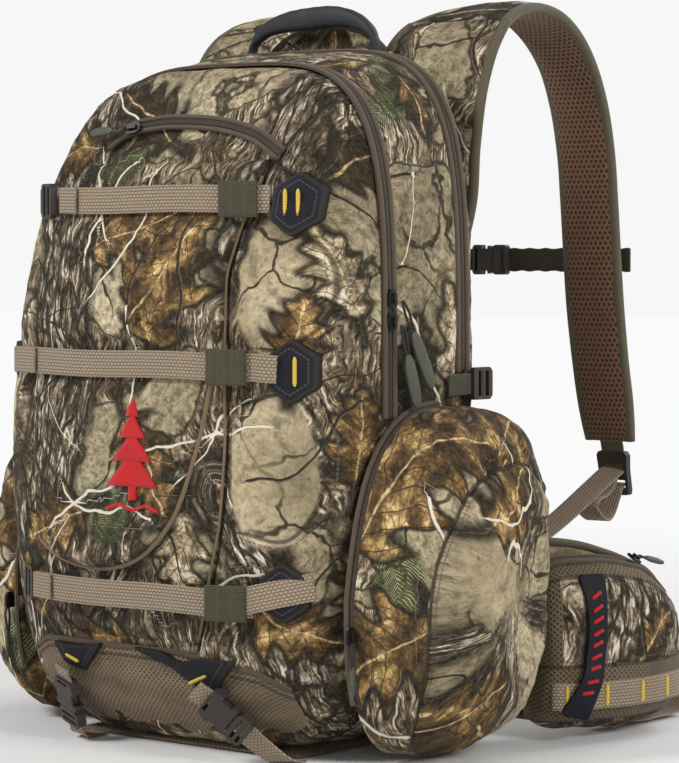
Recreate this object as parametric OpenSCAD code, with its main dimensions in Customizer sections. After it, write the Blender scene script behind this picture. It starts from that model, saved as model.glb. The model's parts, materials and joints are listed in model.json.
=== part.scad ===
// Hunting day pack: padded camouflage rucksack with two arched compartments,
// a raised front pocket, two bellows side pockets, a boot pocket, a shoulder
// harness and two hip wings with pouches. Millimetres, +Z up. The outer front
// face looks along -Y, the wearer's back is on the +Y side, +X is the wearer's right.
// Origin: centre of the footprint, on the floor.

/* [Bag] */
// Half width of the bag at its middle
half_w = 162; // [156:1:165]
// Height of the arch of the front compartment above the widest level
arch_front = 267; // [260:1:270]
// Height of the arch at the back panel above the widest level
arch_rear = 281; // [277:1:284]
// Depth added to the domed front face
front_puff = 0; // [-3:0.5:3]

/* [Webbing] */
// Width of the three compression straps
comp_w = 20; // [18:1:22]
// Thickness of webbing
web_t = 2; // [1.5:0.1:2]
// Width of a zip tape
tape_w = 12; // [10:1:13]

/* [Side pockets] */
// How far a side pocket stands off the side of the bag
pocket_out = 74; // [60:1:76]

/* [Harness] */
// Thickness of the padded shoulder straps
strap_t = 11; // [8:1:12]
// Thickness of the hip wing padding
wing_t = 12; // [9:1:13]

/* [Buckles] */
// Width of a ladder lock
lock_w = 26; // [24:1:28]

/* [Hidden] */
ys = -106.5;               // design depth axis to the centre of the footprint
zc = 240;                // widest level of the bag
y0 = -19;                // seam plane of the front compartment
hb = 236;                // widest level down to the underside
camo = [0.55, 0.48, 0.36];
taupe = [0.46, 0.41, 0.33];
olive = [0.36, 0.35, 0.24];
charcoal = [0.13, 0.14, 0.17];
zipc = [0.36, 0.30, 0.25];
plastic = [0.27, 0.22, 0.19];
tan = [0.70, 0.52, 0.24];

// ---------- general forms ----------
function cat(L) = [for (a = L) for (b = a) b];
// faces of a closed stack of rings, m points a ring, n rings
function ring_faces(m, n) = concat(
  [for (i = [0:n-2]) for (j = [0:m-1]) [i*m+j, i*m+(j+1)%m, (i+1)*m+(j+1)%m]],
  [for (i = [0:n-2]) for (j = [0:m-1]) [i*m+j, (i+1)*m+(j+1)%m, (i+1)*m+j]],
  [[for (j = [m-1:-1:0]) j]], [[for (j = [0:m-1]) (n-1)*m+j]]);
module stack(R) { polyhedron(cat(R), ring_faces(len(R[0]), len(R)), convexity = 8); }
function unit(v) = v / norm(v);
function tang(S, i) = unit(S[min(i+1, len(S)-1)] - S[max(i-1, 0)]);
// flat band lying across X: stations [x1, x2, y, z]
module xband(S, t) {
  Q = [for (s = S) [s[2], s[3]]];
  stack([for (i = [0:len(S)-1]) let (d = tang(Q, i), n = [-d[1], d[0]] * t / 2, s = S[i])
    [[s[0], s[2]-n[0], s[3]-n[1]], [s[1], s[2]-n[0], s[3]-n[1]], [s[1], s[2]+n[0], s[3]+n[1]], [s[0], s[2]+n[0], s[3]+n[1]]]]);
}
// upright band: stations [x, y, z1, z2, offset from the path, thickness]
module zband(S) {
  Q = [for (s = S) [s[0], s[1]]];
  stack([for (i = [0:len(S)-1]) let (d = tang(Q, i), n = [d[1], -d[0]], s = S[i], a = n * s[4], b = n * (s[4] + s[5]))
    [[s[0]+a[0], s[1]+a[1], s[2]], [s[0]+b[0], s[1]+b[1], s[2]], [s[0]+b[0], s[1]+b[1], s[3]], [s[0]+a[0], s[1]+a[1], s[3]]]]);
}
module box2(a, b) { translate(a) cube(b - a); }
module mirror_x(on) { if (on) mirror([1, 0, 0]) children(); else children(); }
// local frame: z along d, y close to n, at point p
module along(p, d, n) {
  e3 = unit(d); e1 = unit(cross(n, e3)); e2 = cross(e3, e1);
  multmatrix([[e1[0], e2[0], e3[0], p[0]], [e1[1], e2[1], e3[1], p[1]], [e1[2], e2[2], e3[2], p[2]], [0, 0, 0, 1]]) children();
}

// ---------- the bag's outline and its domed front ----------
// squareness of the arch: the left shoulder of the soft front slopes more than the right one
slump = 3.0;
function arch_n(x, z, nl) = z < zc ? 5.0 : x < 0 ? nl : 4.6;
function rho(x, z, w, ht, b, nl) = let (n = arch_n(x, z, nl)) pow(pow(abs(x)/w, n) + pow(abs(z-zc)/(z >= zc ? ht : b), n), 1/n);
function edge(t, w, ht, b, nl = 4.6) = let (c = cos(t), s = sin(t), h = s >= 0 ? ht : b, r = rho(w*c, zc + h*s, w, ht, b, nl)) [w*c/r, zc + h*s/r];
function arch_ring(w, ht, b, y, m, nl) = [for (j = [0:m-1]) let (e = edge(360*j/m, w, ht, b, nl)) [e[0], y, e[1]]];
depth_tab = [[0, 92], [65, 94], [150, 92], [215, 90], [300, 88], [380, 84], [462, 78], [505, 72]];
function depth(z) = lookup(z, depth_tab) + front_puff;
// fullness of the dome: boxy at the middle, rounder towards the top
full_tab = [[0, 3], [150, 3.4], [288, 4], [350, 3.4], [408, 2.7], [460, 2.2], [505, 2]];
function yf(x, z, o) = let (r = min(rho(x, z, half_w, arch_front-1, hb, slump), 1), k = lookup(z, full_tab)) y0 - 0.3 - (depth(z) + o) * pow(1 - pow(r, k), 1/3);

// a sheet of thickness that follows the domed front between two offsets
// G: rows of [x, z, inner offset, outer offset], g: clear gap under it
module front_slab(G, g = 0.9) {
  n = len(G); m = len(G[0]);
  A = cat([for (r = G) [for (p = r) [p[0], yf(p[0], p[1], p[2]) - g, p[1]]]]);
  B = cat([for (r = G) [for (p = r) [p[0], yf(p[0], p[1], p[3]) - g, p[1]]]]);
  k = n*m;
  f1 = cat([for (i = [0:n-2]) for (j = [0:m-2]) [[i*m+j, i*m+j+1, (i+1)*m+j+1], [i*m+j, (i+1)*m+j+1, (i+1)*m+j]]]);
  f2 = [for (f = f1) [f[0]+k, f[2]+k, f[1]+k]];
  rim = concat([for (j = [0:m-2]) [j, j+1]], [for (i = [0:n-2]) [i*m+m-1, (i+1)*m+m-1]],
    [for (j = [m-1:-1:1]) [(n-1)*m+j, (n-1)*m+j-1]], [for (i = [n-1:-1:1]) [i*m, (i-1)*m]]);
  f3 = cat([for (e = rim) [[e[1], e[0], e[0]+k], [e[1], e[0]+k, e[1]+k]]]);
  polyhedron(concat(A, B), concat(f1, f2, f3), convexity = 6);
}

module main_compartment() color(camo)
  stack([for (s = [[y0, 0, 0, slump], [-12, 0, 0, slump], [10, 3.5, 6, 3.4], [38, 4, 11, 4], [59, 1.5, 14, 4.6], [73, 1, 14, 4.6], [80, -2, 11, 4.6], [87.5, -12, 2, 4.6]])
    arch_ring(half_w + s[1], arch_front + s[2], hb, s[0], 48, s[3])]);

module front_compartment() color(camo) {
  m = 48; rr = [1, 0.97, 0.9, 0.78, 0.6, 0.38, 0.15];
  R = [for (r = rr) [for (j = [0:m-1]) let (e = edge(360*j/m, half_w, arch_front-1, hb, slump), x = e[0]*r, z = zc + (e[1]-zc)*r) [x, yf(x, z, 0), z]]];
  rotate([0, 0, 0]) polyhedron(cat(R), [for (f = ring_faces(m, len(R))) [for (i = [len(f)-1:-1:0]) f[i]]], convexity = 4);
}

// left and right limits of the raised front pocket by height
fp_r = [[84, 56], [113, 66], [173, 81], [234, 85], [356, 82], [394, 92], [436, 104]];
fp_l = [[84, -84], [113, -96], [173, -108], [234, -112], [356, -104], [394, -96], [436, -78]];
module front_pocket() color(camo) {
  n = 16; m = 14;
  front_slab([for (i = [0:n]) let (v = i/n, z = 84 + v*352, a = lookup(z, fp_l), b = lookup(z, fp_r))
    [for (j = [0:m]) let (u = j/m, s = pow(1-pow(abs(2*u-1), 6), 0.5) * pow(1-pow(abs(2*v-1), 8), 0.5)) [a+(b-a)*u, z, 0.5, 2.5+9.0*s]]], 0.9);
}

boot_top = [[-128, 66], [-100, 78], [37, 78], [106, 68], [136, 52]];
module boot_pocket() color([0.33, 0.26, 0.19]) {
  n = 6; m = 16;
  front_slab([for (i = [0:n]) [for (j = [0:m]) let (x = -128 + j*264/m, zb = 8 + 16*pow(x/130, 2), z = zb + (lookup(x, boot_top)-zb)*i/n) [x, z, 0.5, 3.5]]], 3);
}

module base_panel() color(camo) box2([-112, -62, 0], [112, 84, 3.7]);

// ---------- side pockets ----------
// outline in depth and height, domed outwards
pk_y = 22; pk_z = 122;
function pk_edge(t) = let (c = cos(t), s = sin(t), w = c >= 0 ? 80 : 88, h = s >= 0 ? 131 : 119, n = 3,
  r = pow(pow(abs(c), n) + pow(abs(s), n), 1/n)) [w*c/r + (s > 0 ? 0.16*h*s/r : 0), h*s/r];
module side_pocket(left) color(camo) mirror_x(left) {
  m = 40; k = left ? 0.97 : 1;
  R = [for (a = [0, 8, 20, 35, 52, 70, 82]) let (q = cos(a)) [for (j = [0:m-1]) let (e = pk_edge(-360*j/m)) [167.6 + pocket_out*k*sin(a)/sin(82), pk_y + e[0]*(0.3*1+0.7*q), pk_z + e[1]*(0.35+0.65*q)]]];
  stack(R);
}
// zip band on the pocket's front edge, level with the side of the bag
module side_pocket_zips() color(zipc) for (l = [false, true]) mirror_x(l) {
  T = [for (i = [0:16]) 100 + 110*i/16];
  P = [for (t = T) pk_edge(t)];
  translate([0, pk_y, pk_z]) rotate([90, 0, 90]) translate([0, 0, 167.6]) linear_extrude(4.8)
    polygon(concat([for (p = P) p*1.006], [for (i = [16:-1:0]) P[i]*1.03]));
}
module side_slider(l) color(charcoal) mirror_x(l) {
  box2([172.8, -78.5, 92], [177.8, -70.5, 104]);
  box2([173.8, -76.5, 52], [176.3, -72.5, 91.8]);
}

// ---------- frame and back ----------
module frame_sheet() color([0.1, 0.1, 0.1]) translate([0, 89.6, 0]) rotate([90, 0, 0]) linear_extrude(1.6)
  hull() for (x = [-108, 108], z = [46, 462]) translate([x, z]) circle(r = 12, $fn = 32);
module frame_stays() color([0.75, 0.76, 0.78]) for (s = [-1, 1]) box2([s*70-12.5, 90.1, 40], [s*70+12.5, 93.1, 470]);
module back_panel() color([0.30, 0.27, 0.20])
  stack([for (y = [93.6, 97]) [for (j = [0:47]) let (e = edge(360*j/48, 146, 262, 226)) [e[0], y, e[1]]]]);
module back_pads() color(tan) for (s = [-1, 1]) for (r = [[150, 206], [213, 290], [297, 398]])
  mirror_x(s < 0) hull() { box2([24, 97.4, r[0]], [144, 99, r[1]]); box2([32, 97.4, r[0]+7], [138, 109, r[1]-7]); }
module lumbar_pad() color(tan) hull() { box2([-84, 97.4, 26], [84, 99, 142]); box2([-74, 97.4, 36], [74, 112, 132]); }

// ---------- zips ----------
module arch_band(w, ht, y, t1, t2, g, th, nl) {
  n = 64;
  A = [for (i = [0:n]) edge(t1 + (t2-t1)*i/n, w + g, ht + g, hb, nl)];
  B = [for (i = [0:n]) edge(t1 + (t2-t1)*i/n, w + g + th, ht + g + th, hb, nl)];
  translate([0, y + tape_w/2, 0]) rotate([90, 0, 0]) linear_extrude(tape_w) polygon(concat(A, [for (i = [n:-1:0]) B[i]]));
}
module front_zip() color(zipc) arch_band(half_w, arch_front, y0, 2, 178, 0.8, 2.2, slump);
module main_zip() color(zipc) arch_band(half_w + 1.2, arch_front + 14, 66, 8, 172, 0.9, 2.2, 4.6);
tz = [[-58, 450], [-45, 458], [-10, 465], [20, 465], [60, 461], [92, 452], [112, 440]];
module top_pocket_zip() color(zipc) {
  n = 20; xs = [for (i = [0:n]) -58 + i*170/n];
  front_slab([for (k = [0:1]) [for (x = xs) [x, lookup(x, tz) - 5 + 10*k, 0.6, 3.2]]]);
}

// ---------- webbing on the front ----------
// [height, left end x, right end x]
comp = [[408, -84, 114], [288, -128, 117], [119, -98, 111]];
function strap_off(x) = x > 84 ? 14 - 9*min(1, (x-84)/26) : 14;
module compression_straps() color(taupe) for (c = comp) {
  n = 30; z = c[0];
  xs = [for (i = [0:n]) c[1] + (c[2]-c[1])*i/n];
  translate([0, 0, z - comp_w/2]) linear_extrude(comp_w)
    polygon(concat([for (x = xs) [x, min(yf(x, z-10, strap_off(x)), yf(x, z+10, strap_off(x))) - 0.4]], [for (i = [n:-1:0]) [xs[i], min(yf(xs[i], z-10, strap_off(xs[i])), yf(xs[i], z+10, strap_off(xs[i]))) - 0.4 - web_t]]));
}
module strap_keepers() color(olive) for (c = comp) {
  x = 92; w = 26; z = c[0];
  ya = min(yf(80, z-12, 14), yf(80, z+12, 14)) - 0.4 - web_t;
  translate([79, ya - 3.4, z - 13]) cube([w, 3, 26]);
}
// hexagon anchor patches and the two V tabs of the boot pocket
function hex_pt(c, r) = [for (k = [0:5]) [c[0] + 0.85*r*cos(60*k+30), c[1] + r*sin(60*k+30)]];
module patch(P, o) {
  k = len(P);
  cx = [for (p = P) p[0]] * [for (p = P) 1] / k; cz = [for (p = P) p[1]] * [for (p = P) 1] / k;
  A = concat([for (p = P) [p[0], yf(p[0], p[1], o) - 1, p[1]]], [[cx, yf(cx, cz, o) - 1, cz]]);
  B = concat([for (p = P) [p[0], yf(p[0], p[1], o) - 3.2, p[1]]], [[cx, yf(cx, cz, o) - 3.2, cz]]);
  polyhedron(concat(A, B), concat([for (i = [0:k-1]) [i, (i+1)%k, k]], [for (i = [0:k-1]) [(i+1)%k+k+1, i+k+1, 2*k+1]],
    cat([for (i = [0:k-1]) [[(i+1)%k, i, i+k+1], [(i+1)%k, i+k+1, (i+1)%k+k+1]]])), convexity = 3);
}
module rubber_patches() color(charcoal) {
  for (c = [[137, 404], [140, 286], [134, 128]]) patch(hex_pt(c, 24), 9);
  patch([[60, 74], [44, 69], [30, 74], [-1, 77], [46, 61], [67, 55], [92, 76]], 12);
  patch([[-56, 73], [-66, 73], [-84, 76], [-78, 60], [-58, 58], [-37, 78]], 12);
}

// boot pocket buckles: [start point, direction, outward]
bk = [[[66, -106.5, 52], [37, 22, -37], [0.35, -0.8, -0.45]], [[-72, -106, 54], [-6, 16, -40], [-0.3, -0.85, -0.4]]];
module boot_buckle_sockets() color(plastic) for (b = bk) along(b[0] + unit(b[2])*7, b[1], b[2]) difference() {
  translate([-14, -4.5, 2]) cube([28, 9, 24]);
  translate([-11, -2.6, 8]) cube([22, 5.2, 20]);
}
module boot_plug(i) color(plastic) let (b = bk[i]) along(b[0] + unit(b[2])*7, b[1], b[2]) {
  translate([-13, -4, 26.6]) cube([26, 8, 15]);
  for (s = [-1, 1]) translate([s*7.5 - 2.2, -2.2, 10]) cube([4.4, 4.4, 16.7]);
}
module boot_webbing() color(taupe) for (b = bk) {
  // short anchor piece above the socket
  along(b[0] + unit(b[2])*7, b[1], b[2]) translate([-9.5, -1, -8]) cube([19, 2, 9.6]);
  s = sign(b[0][0]);
  // long piece that runs back under the bag
  q = s > 0 ? [[108, 128, -50, 2.2], [104, 124, -70.6, 3.2]] : [[-96, -76, -50, 2.2], [-96, -76, -70.6, 3.2]];
  box2([s > 0 ? 104 : -96, -78, 1], [s > 0 ? 124 : -76, -70.6, 3]);
}

// ---------- side compression tab, anchors ----------
module side_compression() for (l = [false, true]) mirror_x(l) {
  color(charcoal) box2([168.2, 58, 262], [171, 96, 282]);
  color(plastic) box2([171.3, 66, 260], [176, 90, 284]);
  color(olive) box2([171.4, 40, 264], [173.4, 65.6, 280]);
}
module anchor_webbing() color(olive) {
  for (s = [-1, 1]) translate([s*72 - 12 + (s > 0 ? 8 : -8), 88.2, 500]) cube([24, 3, 17]);
  // loops that hold the ladder locks
  for (c = lockp) along(c[0], [0, 0, 1], c[2]) translate([12.2 + c[3], 4, -9.5]) cube([10, 2, 19]);
}

// ladder locks of the compression straps: [centre, hinge direction, outward, shift]
lockp = [[[-96, -98.5, 408], 0, unit([-0.45, -0.89, 0]), 0], [[-147, -79, 288], 0, unit([-0.78, -0.62, 0]), 0], [[-111, -104.5, 119], 0, unit([-0.5, -0.86, 0]), 0]];
module lock_body() {
  difference() {
    translate([-11, -3, -lock_w/2]) cube([22, 6, lock_w]);
    for (x = [-6.5, 2.5]) translate([x, -4, -10.5]) cube([4, 8, 21]);
  }
}
module compression_lock(i) color(plastic) along(lockp[i][0] + lockp[i][2]*5, [0, 0, 1], lockp[i][2]) lock_body();

// ---------- shoulder harness ----------
yoke_s = [[64, 148, 102.4, 404], [54, 150, 105, 450], [46, 152, 113, 498], [44, 152, 126, 526], [46, 151, 136, 538]];
strap_s = [[50, 149, 143, 544], [62, 147, 158, 552], [72, 145, 176, 557.5], [79, 142, 200, 559], [84, 141, 226, 554], [86, 141, 248, 541], [88, 141, 268, 519],
  [88, 141, 283, 490], [88, 141, 294, 450], [88, 141, 299, 410], [88, 141, 303, 370], [88, 141, 308, 325], [89, 141, 315, 280], [90, 141, 322, 245], [93, 139, 328, 215]];
module shoulder_yoke() color(camo) {
  for (l = [false, true]) mirror_x(l) xband(yoke_s, 8);
  box2([-52, 98.4, 446], [52, 104, 500]);
}
module shoulder_strap(l) color(camo) mirror_x(l) xband(strap_s, strap_t);
low_s = [[92, 118, 99.5, 84], [96, 122, 140, 104], [100, 126, 200, 134], [103, 129, 260, 160], [104, 130, 312, 184]];
module lower_webbing() color(taupe) for (l = [false, true]) mirror_x(l) xband(low_s, 2.2);
// ladder lock below each strap, hinge line across X
slock = [117, 331, 203];
module strap_lock(l) color(plastic) mirror_x(l) translate(slock) rotate([8, 0, 0]) difference() {
  translate([-15, -3.5, -33]) cube([30, 7, 36]);
  for (z = [-28, -14]) translate([-12, -5, z]) cube([24, 10, 8]);
}
module sternum_webbing() color(olive) {
  box2([18, 323, 353], [138, 325, 373]);
  box2([-138, 318, 353], [-18, 320, 373]);
}
module sternum_socket() color(plastic) difference() { box2([-17.6, 315, 350], [3, 323, 376]); box2([-10, 317, 353], [4, 321, 373]); }
module sternum_plug() color(plastic) { box2([3.6, 315.5, 351], [17.6, 322.5, 375]); for (z = [354, 366]) box2([-8, 317.5, z], [3.7, 320.5, z+6]); }

// ---------- hip wings ----------
wing = [[140, 106], [158, 122], [176, 142], [190, 166], [197, 194], [199, 224], [197, 254], [190, 284], [182, 302]];
wing_hi = [150, 150, 150, 147, 139, 129, 117, 92, 74];
wing_lo = [24, 20, 16, 14, 14, 16, 20, 28, 36];
module wing_pad(l) color(taupe) mirror_x(l) zband([for (i = [0:8]) [wing[i][0], wing[i][1], wing_lo[i], wing_hi[i], 0, wing_t]]);
pouch = [[168, 132, 18, 124, 15.5, 12], [176, 142, 11, 134, 15.5, 26], [190, 166, 8, 138, 15.5, 30], [197, 194, 7, 134, 15.5, 31], [199, 220, 8, 125, 15.5, 29], [198, 245, 12, 106, 15.5, 22], [193, 265, 20, 88, 15.5, 9]];
module hip_pouch(l) color(camo) mirror_x(l) zband(pouch);
module hip_zip(l) color(zipc) mirror_x(l)
  zband([for (i = [1:5]) [pouch[i][0], pouch[i][1], pouch[i][3] + 1.8, pouch[i][3] + 4, 22, 11]]);
module pull_tab(l) color(charcoal) mirror_x(l)
  zband([[180.5, 149.7, 20, 127, 46.5, 3], [185.5, 158.3, 20, 127, 46.9, 3], [190.4, 167, 20, 127, 47, 3]]);
module hip_webbing(l) color(olive) mirror_x(l) {
  zband([[195.5, 188, 26, 46, 47.4, 2], [197.6, 200, 26, 46, 47.4, 2], [199.4, 220, 26, 46, 46, 2], [198.2, 245, 26, 46, 42, 2], [195, 260, 26, 46, 36, 2]]);
  xband([[186, 210, 313, 58], [186, 210, 316, 40], [186, 210, 314, 20], [186, 210, 303, 7], [186, 210, 284, 4.2], [188, 212, 240, 4.2], [190, 214, 196, 4.2]], web_t);
}
module belt_plug() color(plastic) { box2([146, 306, 40], [172, 313, 72]); for (z = [44, 60]) box2([128, 307.5, z], [146.1, 311.5, z+8]); }
module belt_socket() color(plastic) difference() { box2([-172, 306, 40], [-136, 313, 72]); box2([-156, 307.5, 43.5], [-135, 311.5, 68.5]); }

// ---------- haul handle ----------
hh = [[-66, 523], [-58, 540], [-36, 555], [-6, 561], [24, 560], [48, 550], [62, 536], [68, 523]];
module haul_handle() color(charcoal) translate([0, 97.5, 0]) rotate([90, 0, 0]) linear_extrude(12)
  polygon(concat(hh, [[60, 523], [54, 533], [42, 543], [22, 550], [-5, 551], [-32, 546], [-50, 534], [-58, 523]]));

// ---------- zip sliders and pullers ----------
module front_slider(z) color(charcoal) box2([half_w + 3.5, y0 - 5, z], [half_w + 8.5, y0 + 5, z + 13]);
module puller(y1, z1, y2, z2) {
  color(charcoal) translate([half_w + 12.2, y1, z1]) rotate([atan2(y2-y1, z1-z2), 0, 0]) translate([0, -1.5, -24]) cube([2, 3, 25]);
  L = norm([y2-y1, z2-z1]);
  color(olive) translate([half_w + 11.6, y1, z1]) rotate([atan2(y2-y1, z1-z2), 0, 0]) translate([0, -4, -L]) cube([4, 8, L - 24]);
}
module front_slider_upper() front_slider(330);
module front_slider_lower() front_slider(313);
module front_puller_upper() puller(y0 + 2, 335, 17, 269);
module front_puller_lower() puller(y0 + 1, 317, 0, 256);
module main_slider() mirror([1, 0, 0]) {
  color(charcoal) box2([half_w + 5, 61, 352], [half_w + 10, 71, 365]);
  color(olive) box2([half_w + 6, 62.5, 294], [half_w + 9.6, 69.5, 351.6]);
}
module top_slider() { x = -30; y = yf(-16, 454, 3.2) - 2;
  color(charcoal) box2([x-7, y - 6.6, 457], [x+7, y - 1.6, 468]);
  color(olive) box2([x-44, y - 6, 459], [x-7.3, y - 3, 466]);
}
module hip_slider(l) mirror_x(l) {
  color(charcoal) box2([219, 204, 136], [228, 216, 141]);
  color(olive) box2([221, 216.4, 131], [226, 244, 138]);
}

module place() translate([0, ys, 0]) children();
place() main_compartment();
place() front_compartment();
place() front_pocket();
place() boot_pocket();
place() base_panel();
place() side_pocket(false);  // side_pocket_right
place() side_pocket(true);  // side_pocket_left
place() frame_sheet();
place() frame_stays();
place() back_panel();
place() back_pads();
place() lumbar_pad();
place() shoulder_yoke();
place() front_zip();
place() main_zip();
place() top_pocket_zip();
place() side_pocket_zips();
place() compression_straps();
place() strap_keepers();
place() rubber_patches();
place() boot_buckle_sockets();
place() boot_webbing();
place() side_compression();
place() lower_webbing();
place() anchor_webbing();
place() haul_handle();
place() shoulder_strap(false);  // shoulder_strap_right
place() shoulder_strap(true);  // shoulder_strap_left
place() sternum_webbing();
place() sternum_socket();
place() sternum_plug();
place() wing_pad(false);  // wing_pad_right
place() hip_pouch(false);  // hip_pouch_right
place() hip_zip(false);  // hip_zip_right
place() pull_tab(false);  // pull_tab_right
place() hip_webbing(false);  // hip_webbing_right
place() wing_pad(true);  // wing_pad_left
place() hip_pouch(true);  // hip_pouch_left
place() hip_zip(true);  // hip_zip_left
place() pull_tab(true);  // pull_tab_left
place() hip_webbing(true);  // hip_webbing_left
place() belt_plug();
place() belt_socket();
place() front_slider_upper();
place() front_slider_lower();
place() front_puller_upper();
place() front_puller_lower();
place() main_slider();
place() top_slider();
place() side_slider(false);  // side_slider_right
place() side_slider(true);  // side_slider_left
place() hip_slider(false);  // hip_slider_right
place() hip_slider(true);  // hip_slider_left
place() compression_lock(0);  // compression_lock_top
place() compression_lock(1);  // compression_lock_middle
place() compression_lock(2);  // compression_lock_bottom
place() strap_lock(false);  // strap_lock_right
place() strap_lock(true);  // strap_lock_left
place() boot_plug(0);  // boot_plug_right
place() boot_plug(1);  // boot_plug_left
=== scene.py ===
import json
import math
import bpy
import bmesh
import numpy as np
from mathutils import Matrix, Vector


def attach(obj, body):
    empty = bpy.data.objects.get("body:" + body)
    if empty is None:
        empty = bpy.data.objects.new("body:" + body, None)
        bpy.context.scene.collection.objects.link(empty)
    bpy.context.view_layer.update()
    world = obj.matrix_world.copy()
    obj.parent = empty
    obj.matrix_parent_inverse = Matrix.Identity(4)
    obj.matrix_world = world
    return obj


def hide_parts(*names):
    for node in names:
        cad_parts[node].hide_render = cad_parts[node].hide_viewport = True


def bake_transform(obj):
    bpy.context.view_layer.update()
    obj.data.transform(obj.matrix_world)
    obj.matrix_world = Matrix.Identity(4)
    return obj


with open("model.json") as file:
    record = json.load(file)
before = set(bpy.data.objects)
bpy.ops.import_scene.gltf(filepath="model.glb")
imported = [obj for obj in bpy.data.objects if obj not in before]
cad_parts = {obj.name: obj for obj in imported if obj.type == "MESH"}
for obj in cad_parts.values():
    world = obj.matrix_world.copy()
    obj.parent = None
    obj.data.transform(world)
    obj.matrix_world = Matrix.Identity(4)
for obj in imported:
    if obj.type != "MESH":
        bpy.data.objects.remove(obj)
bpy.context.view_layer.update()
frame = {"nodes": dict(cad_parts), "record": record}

scene = bpy.context.scene
record = frame["record"]
base = [m for m in record["mounts"] if m["name"] == "base"][0]
YS = base["pos_m"][1] * 1000.0          # design depth axis to the row frame, millimetres

# ------------------------------------------------------------------ helpers
def W(p):
    """design millimetres -> row frame metres"""
    p = np.asarray(p, float)
    return (p + np.array([0, YS, 0])) / 1000.0


def unit(v):
    v = np.asarray(v, float)
    return v / np.maximum(np.linalg.norm(v, axis=-1, keepdims=True), 1e-12)


def sm(x, a, b):
    t = np.clip((np.asarray(x, float) - a) / (b - a), 0, 1)
    return t * t * (3 - 2 * t)


def cr(P, n, key=None, closed=False):
    """Smooth curve through the rows of P, n samples evenly spaced by arc length of the key columns."""
    P = np.asarray(P, float)
    if closed:
        P = np.vstack([P[-2:], P, P[:3]])
    K = P if key is None else P[:, key]
    d = np.r_[0, np.cumsum(np.maximum(np.linalg.norm(np.diff(K, axis=0), axis=1), 1e-6))]
    T = np.zeros_like(P)
    N = len(P)
    for i in range(N):
        if i == 0:
            T[i] = (P[1] - P[0]) / (d[1] - d[0])
        elif i == N - 1:
            T[i] = (P[-1] - P[-2]) / (d[-1] - d[-2])
        else:
            a = (P[i] - P[i-1]) / (d[i] - d[i-1])
            b = (P[i+1] - P[i]) / (d[i+1] - d[i])
            T[i] = (a * (d[i+1] - d[i]) + b * (d[i] - d[i-1])) / (d[i+1] - d[i-1])
    lo, hi = (d[2], d[-3]) if closed else (d[0], d[-1])
    t = np.linspace(lo, hi, max(400, 8 * n))

    def ev(t):
        i = np.clip(np.searchsorted(d, t, side="right") - 1, 0, N - 2)
        h = (d[i+1] - d[i])[:, None]
        s = ((t - d[i]) / (d[i+1] - d[i]))[:, None]
        return ((2*s**3 - 3*s**2 + 1) * P[i] + (s**3 - 2*s**2 + s) * h * T[i]
                + (-2*s**3 + 3*s**2) * P[i+1] + (s**3 - s**2) * h * T[i+1])
    Q = ev(t)
    K = Q if key is None else Q[:, key]
    L = np.r_[0, np.cumsum(np.linalg.norm(np.diff(K, axis=0), axis=1))]
    return ev(np.interp(np.linspace(0, L[-1], n), L, t))


def noise3(P, seed=0):
    """smooth gradient-like value noise, -1..1, P in cells"""
    P = np.asarray(P, float)
    i = np.floor(P).astype(np.int64)
    f = P - i
    f = f * f * f * (f * (f * 6 - 15) + 10)
    out = 0
    for dx in (0, 1):
        for dy in (0, 1):
            for dz in (0, 1):
                q = (i[..., 0] + dx) * 374761393 + (i[..., 1] + dy) * 668265263 + (i[..., 2] + dz) * 2147483647 + seed * 1274126177
                q = (q ^ (q >> 13)) * 1274126177
                q = (q ^ (q >> 16)) & 0xffff
                r = q / 32767.5 - 1
                out = out + r * (f[..., 0] if dx else 1 - f[..., 0]) * (f[..., 1] if dy else 1 - f[..., 1]) * (f[..., 2] if dz else 1 - f[..., 2])
    return out


def fbm(P, seed=0, octaves=3, gain=0.5):
    a, s, o = 1.0, 0.0, 0.0
    for k in range(octaves):
        o = o + a * noise3(np.asarray(P) * 2**k, seed + 17 * k)
        s += a
        a *= gain
    return o / s


def wrinkle(P, size, seed=0, stretch=(1, 1, 1)):
    """soft cloth folds: ridged noise, -1..1, P in millimetres"""
    Q = np.asarray(P) / size / np.asarray(stretch)
    n = fbm(Q + 0.6 * fbm(Q * 0.7 + 9.1, seed + 3)[..., None], seed, 2)
    return 1 - 2 * np.abs(n) ** 0.8


def seg_dist(Q, pts):
    """signed distance (left positive), along, for 2-D points Q to a polyline"""
    Q = np.asarray(Q, float)
    best = np.full(len(Q), 1e9); sg = np.zeros(len(Q)); al = np.zeros(len(Q))
    L = 0
    pts = np.asarray(pts, float)
    for a, b in zip(pts[:-1], pts[1:]):
        e = b - a; l = np.hypot(*e)
        r = Q - a
        t = np.clip((r @ e) / (l * l), 0, 1)
        v = r - t[:, None] * e
        d = np.hypot(v[:, 0], v[:, 1])
        m = d < best
        best[m] = d[m]
        sg[m] = np.sign(e[0] * r[m, 1] - e[1] * r[m, 0])
        al[m] = L + t[m] * l
        L += l
    return best * np.where(sg == 0, 1, sg), al


def normals(G):
    """unit normals of a grid (n, m, 3)"""
    du = np.gradient(G, axis=0); dv = np.gradient(G, axis=1)
    return unit(np.cross(du, dv))


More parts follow.
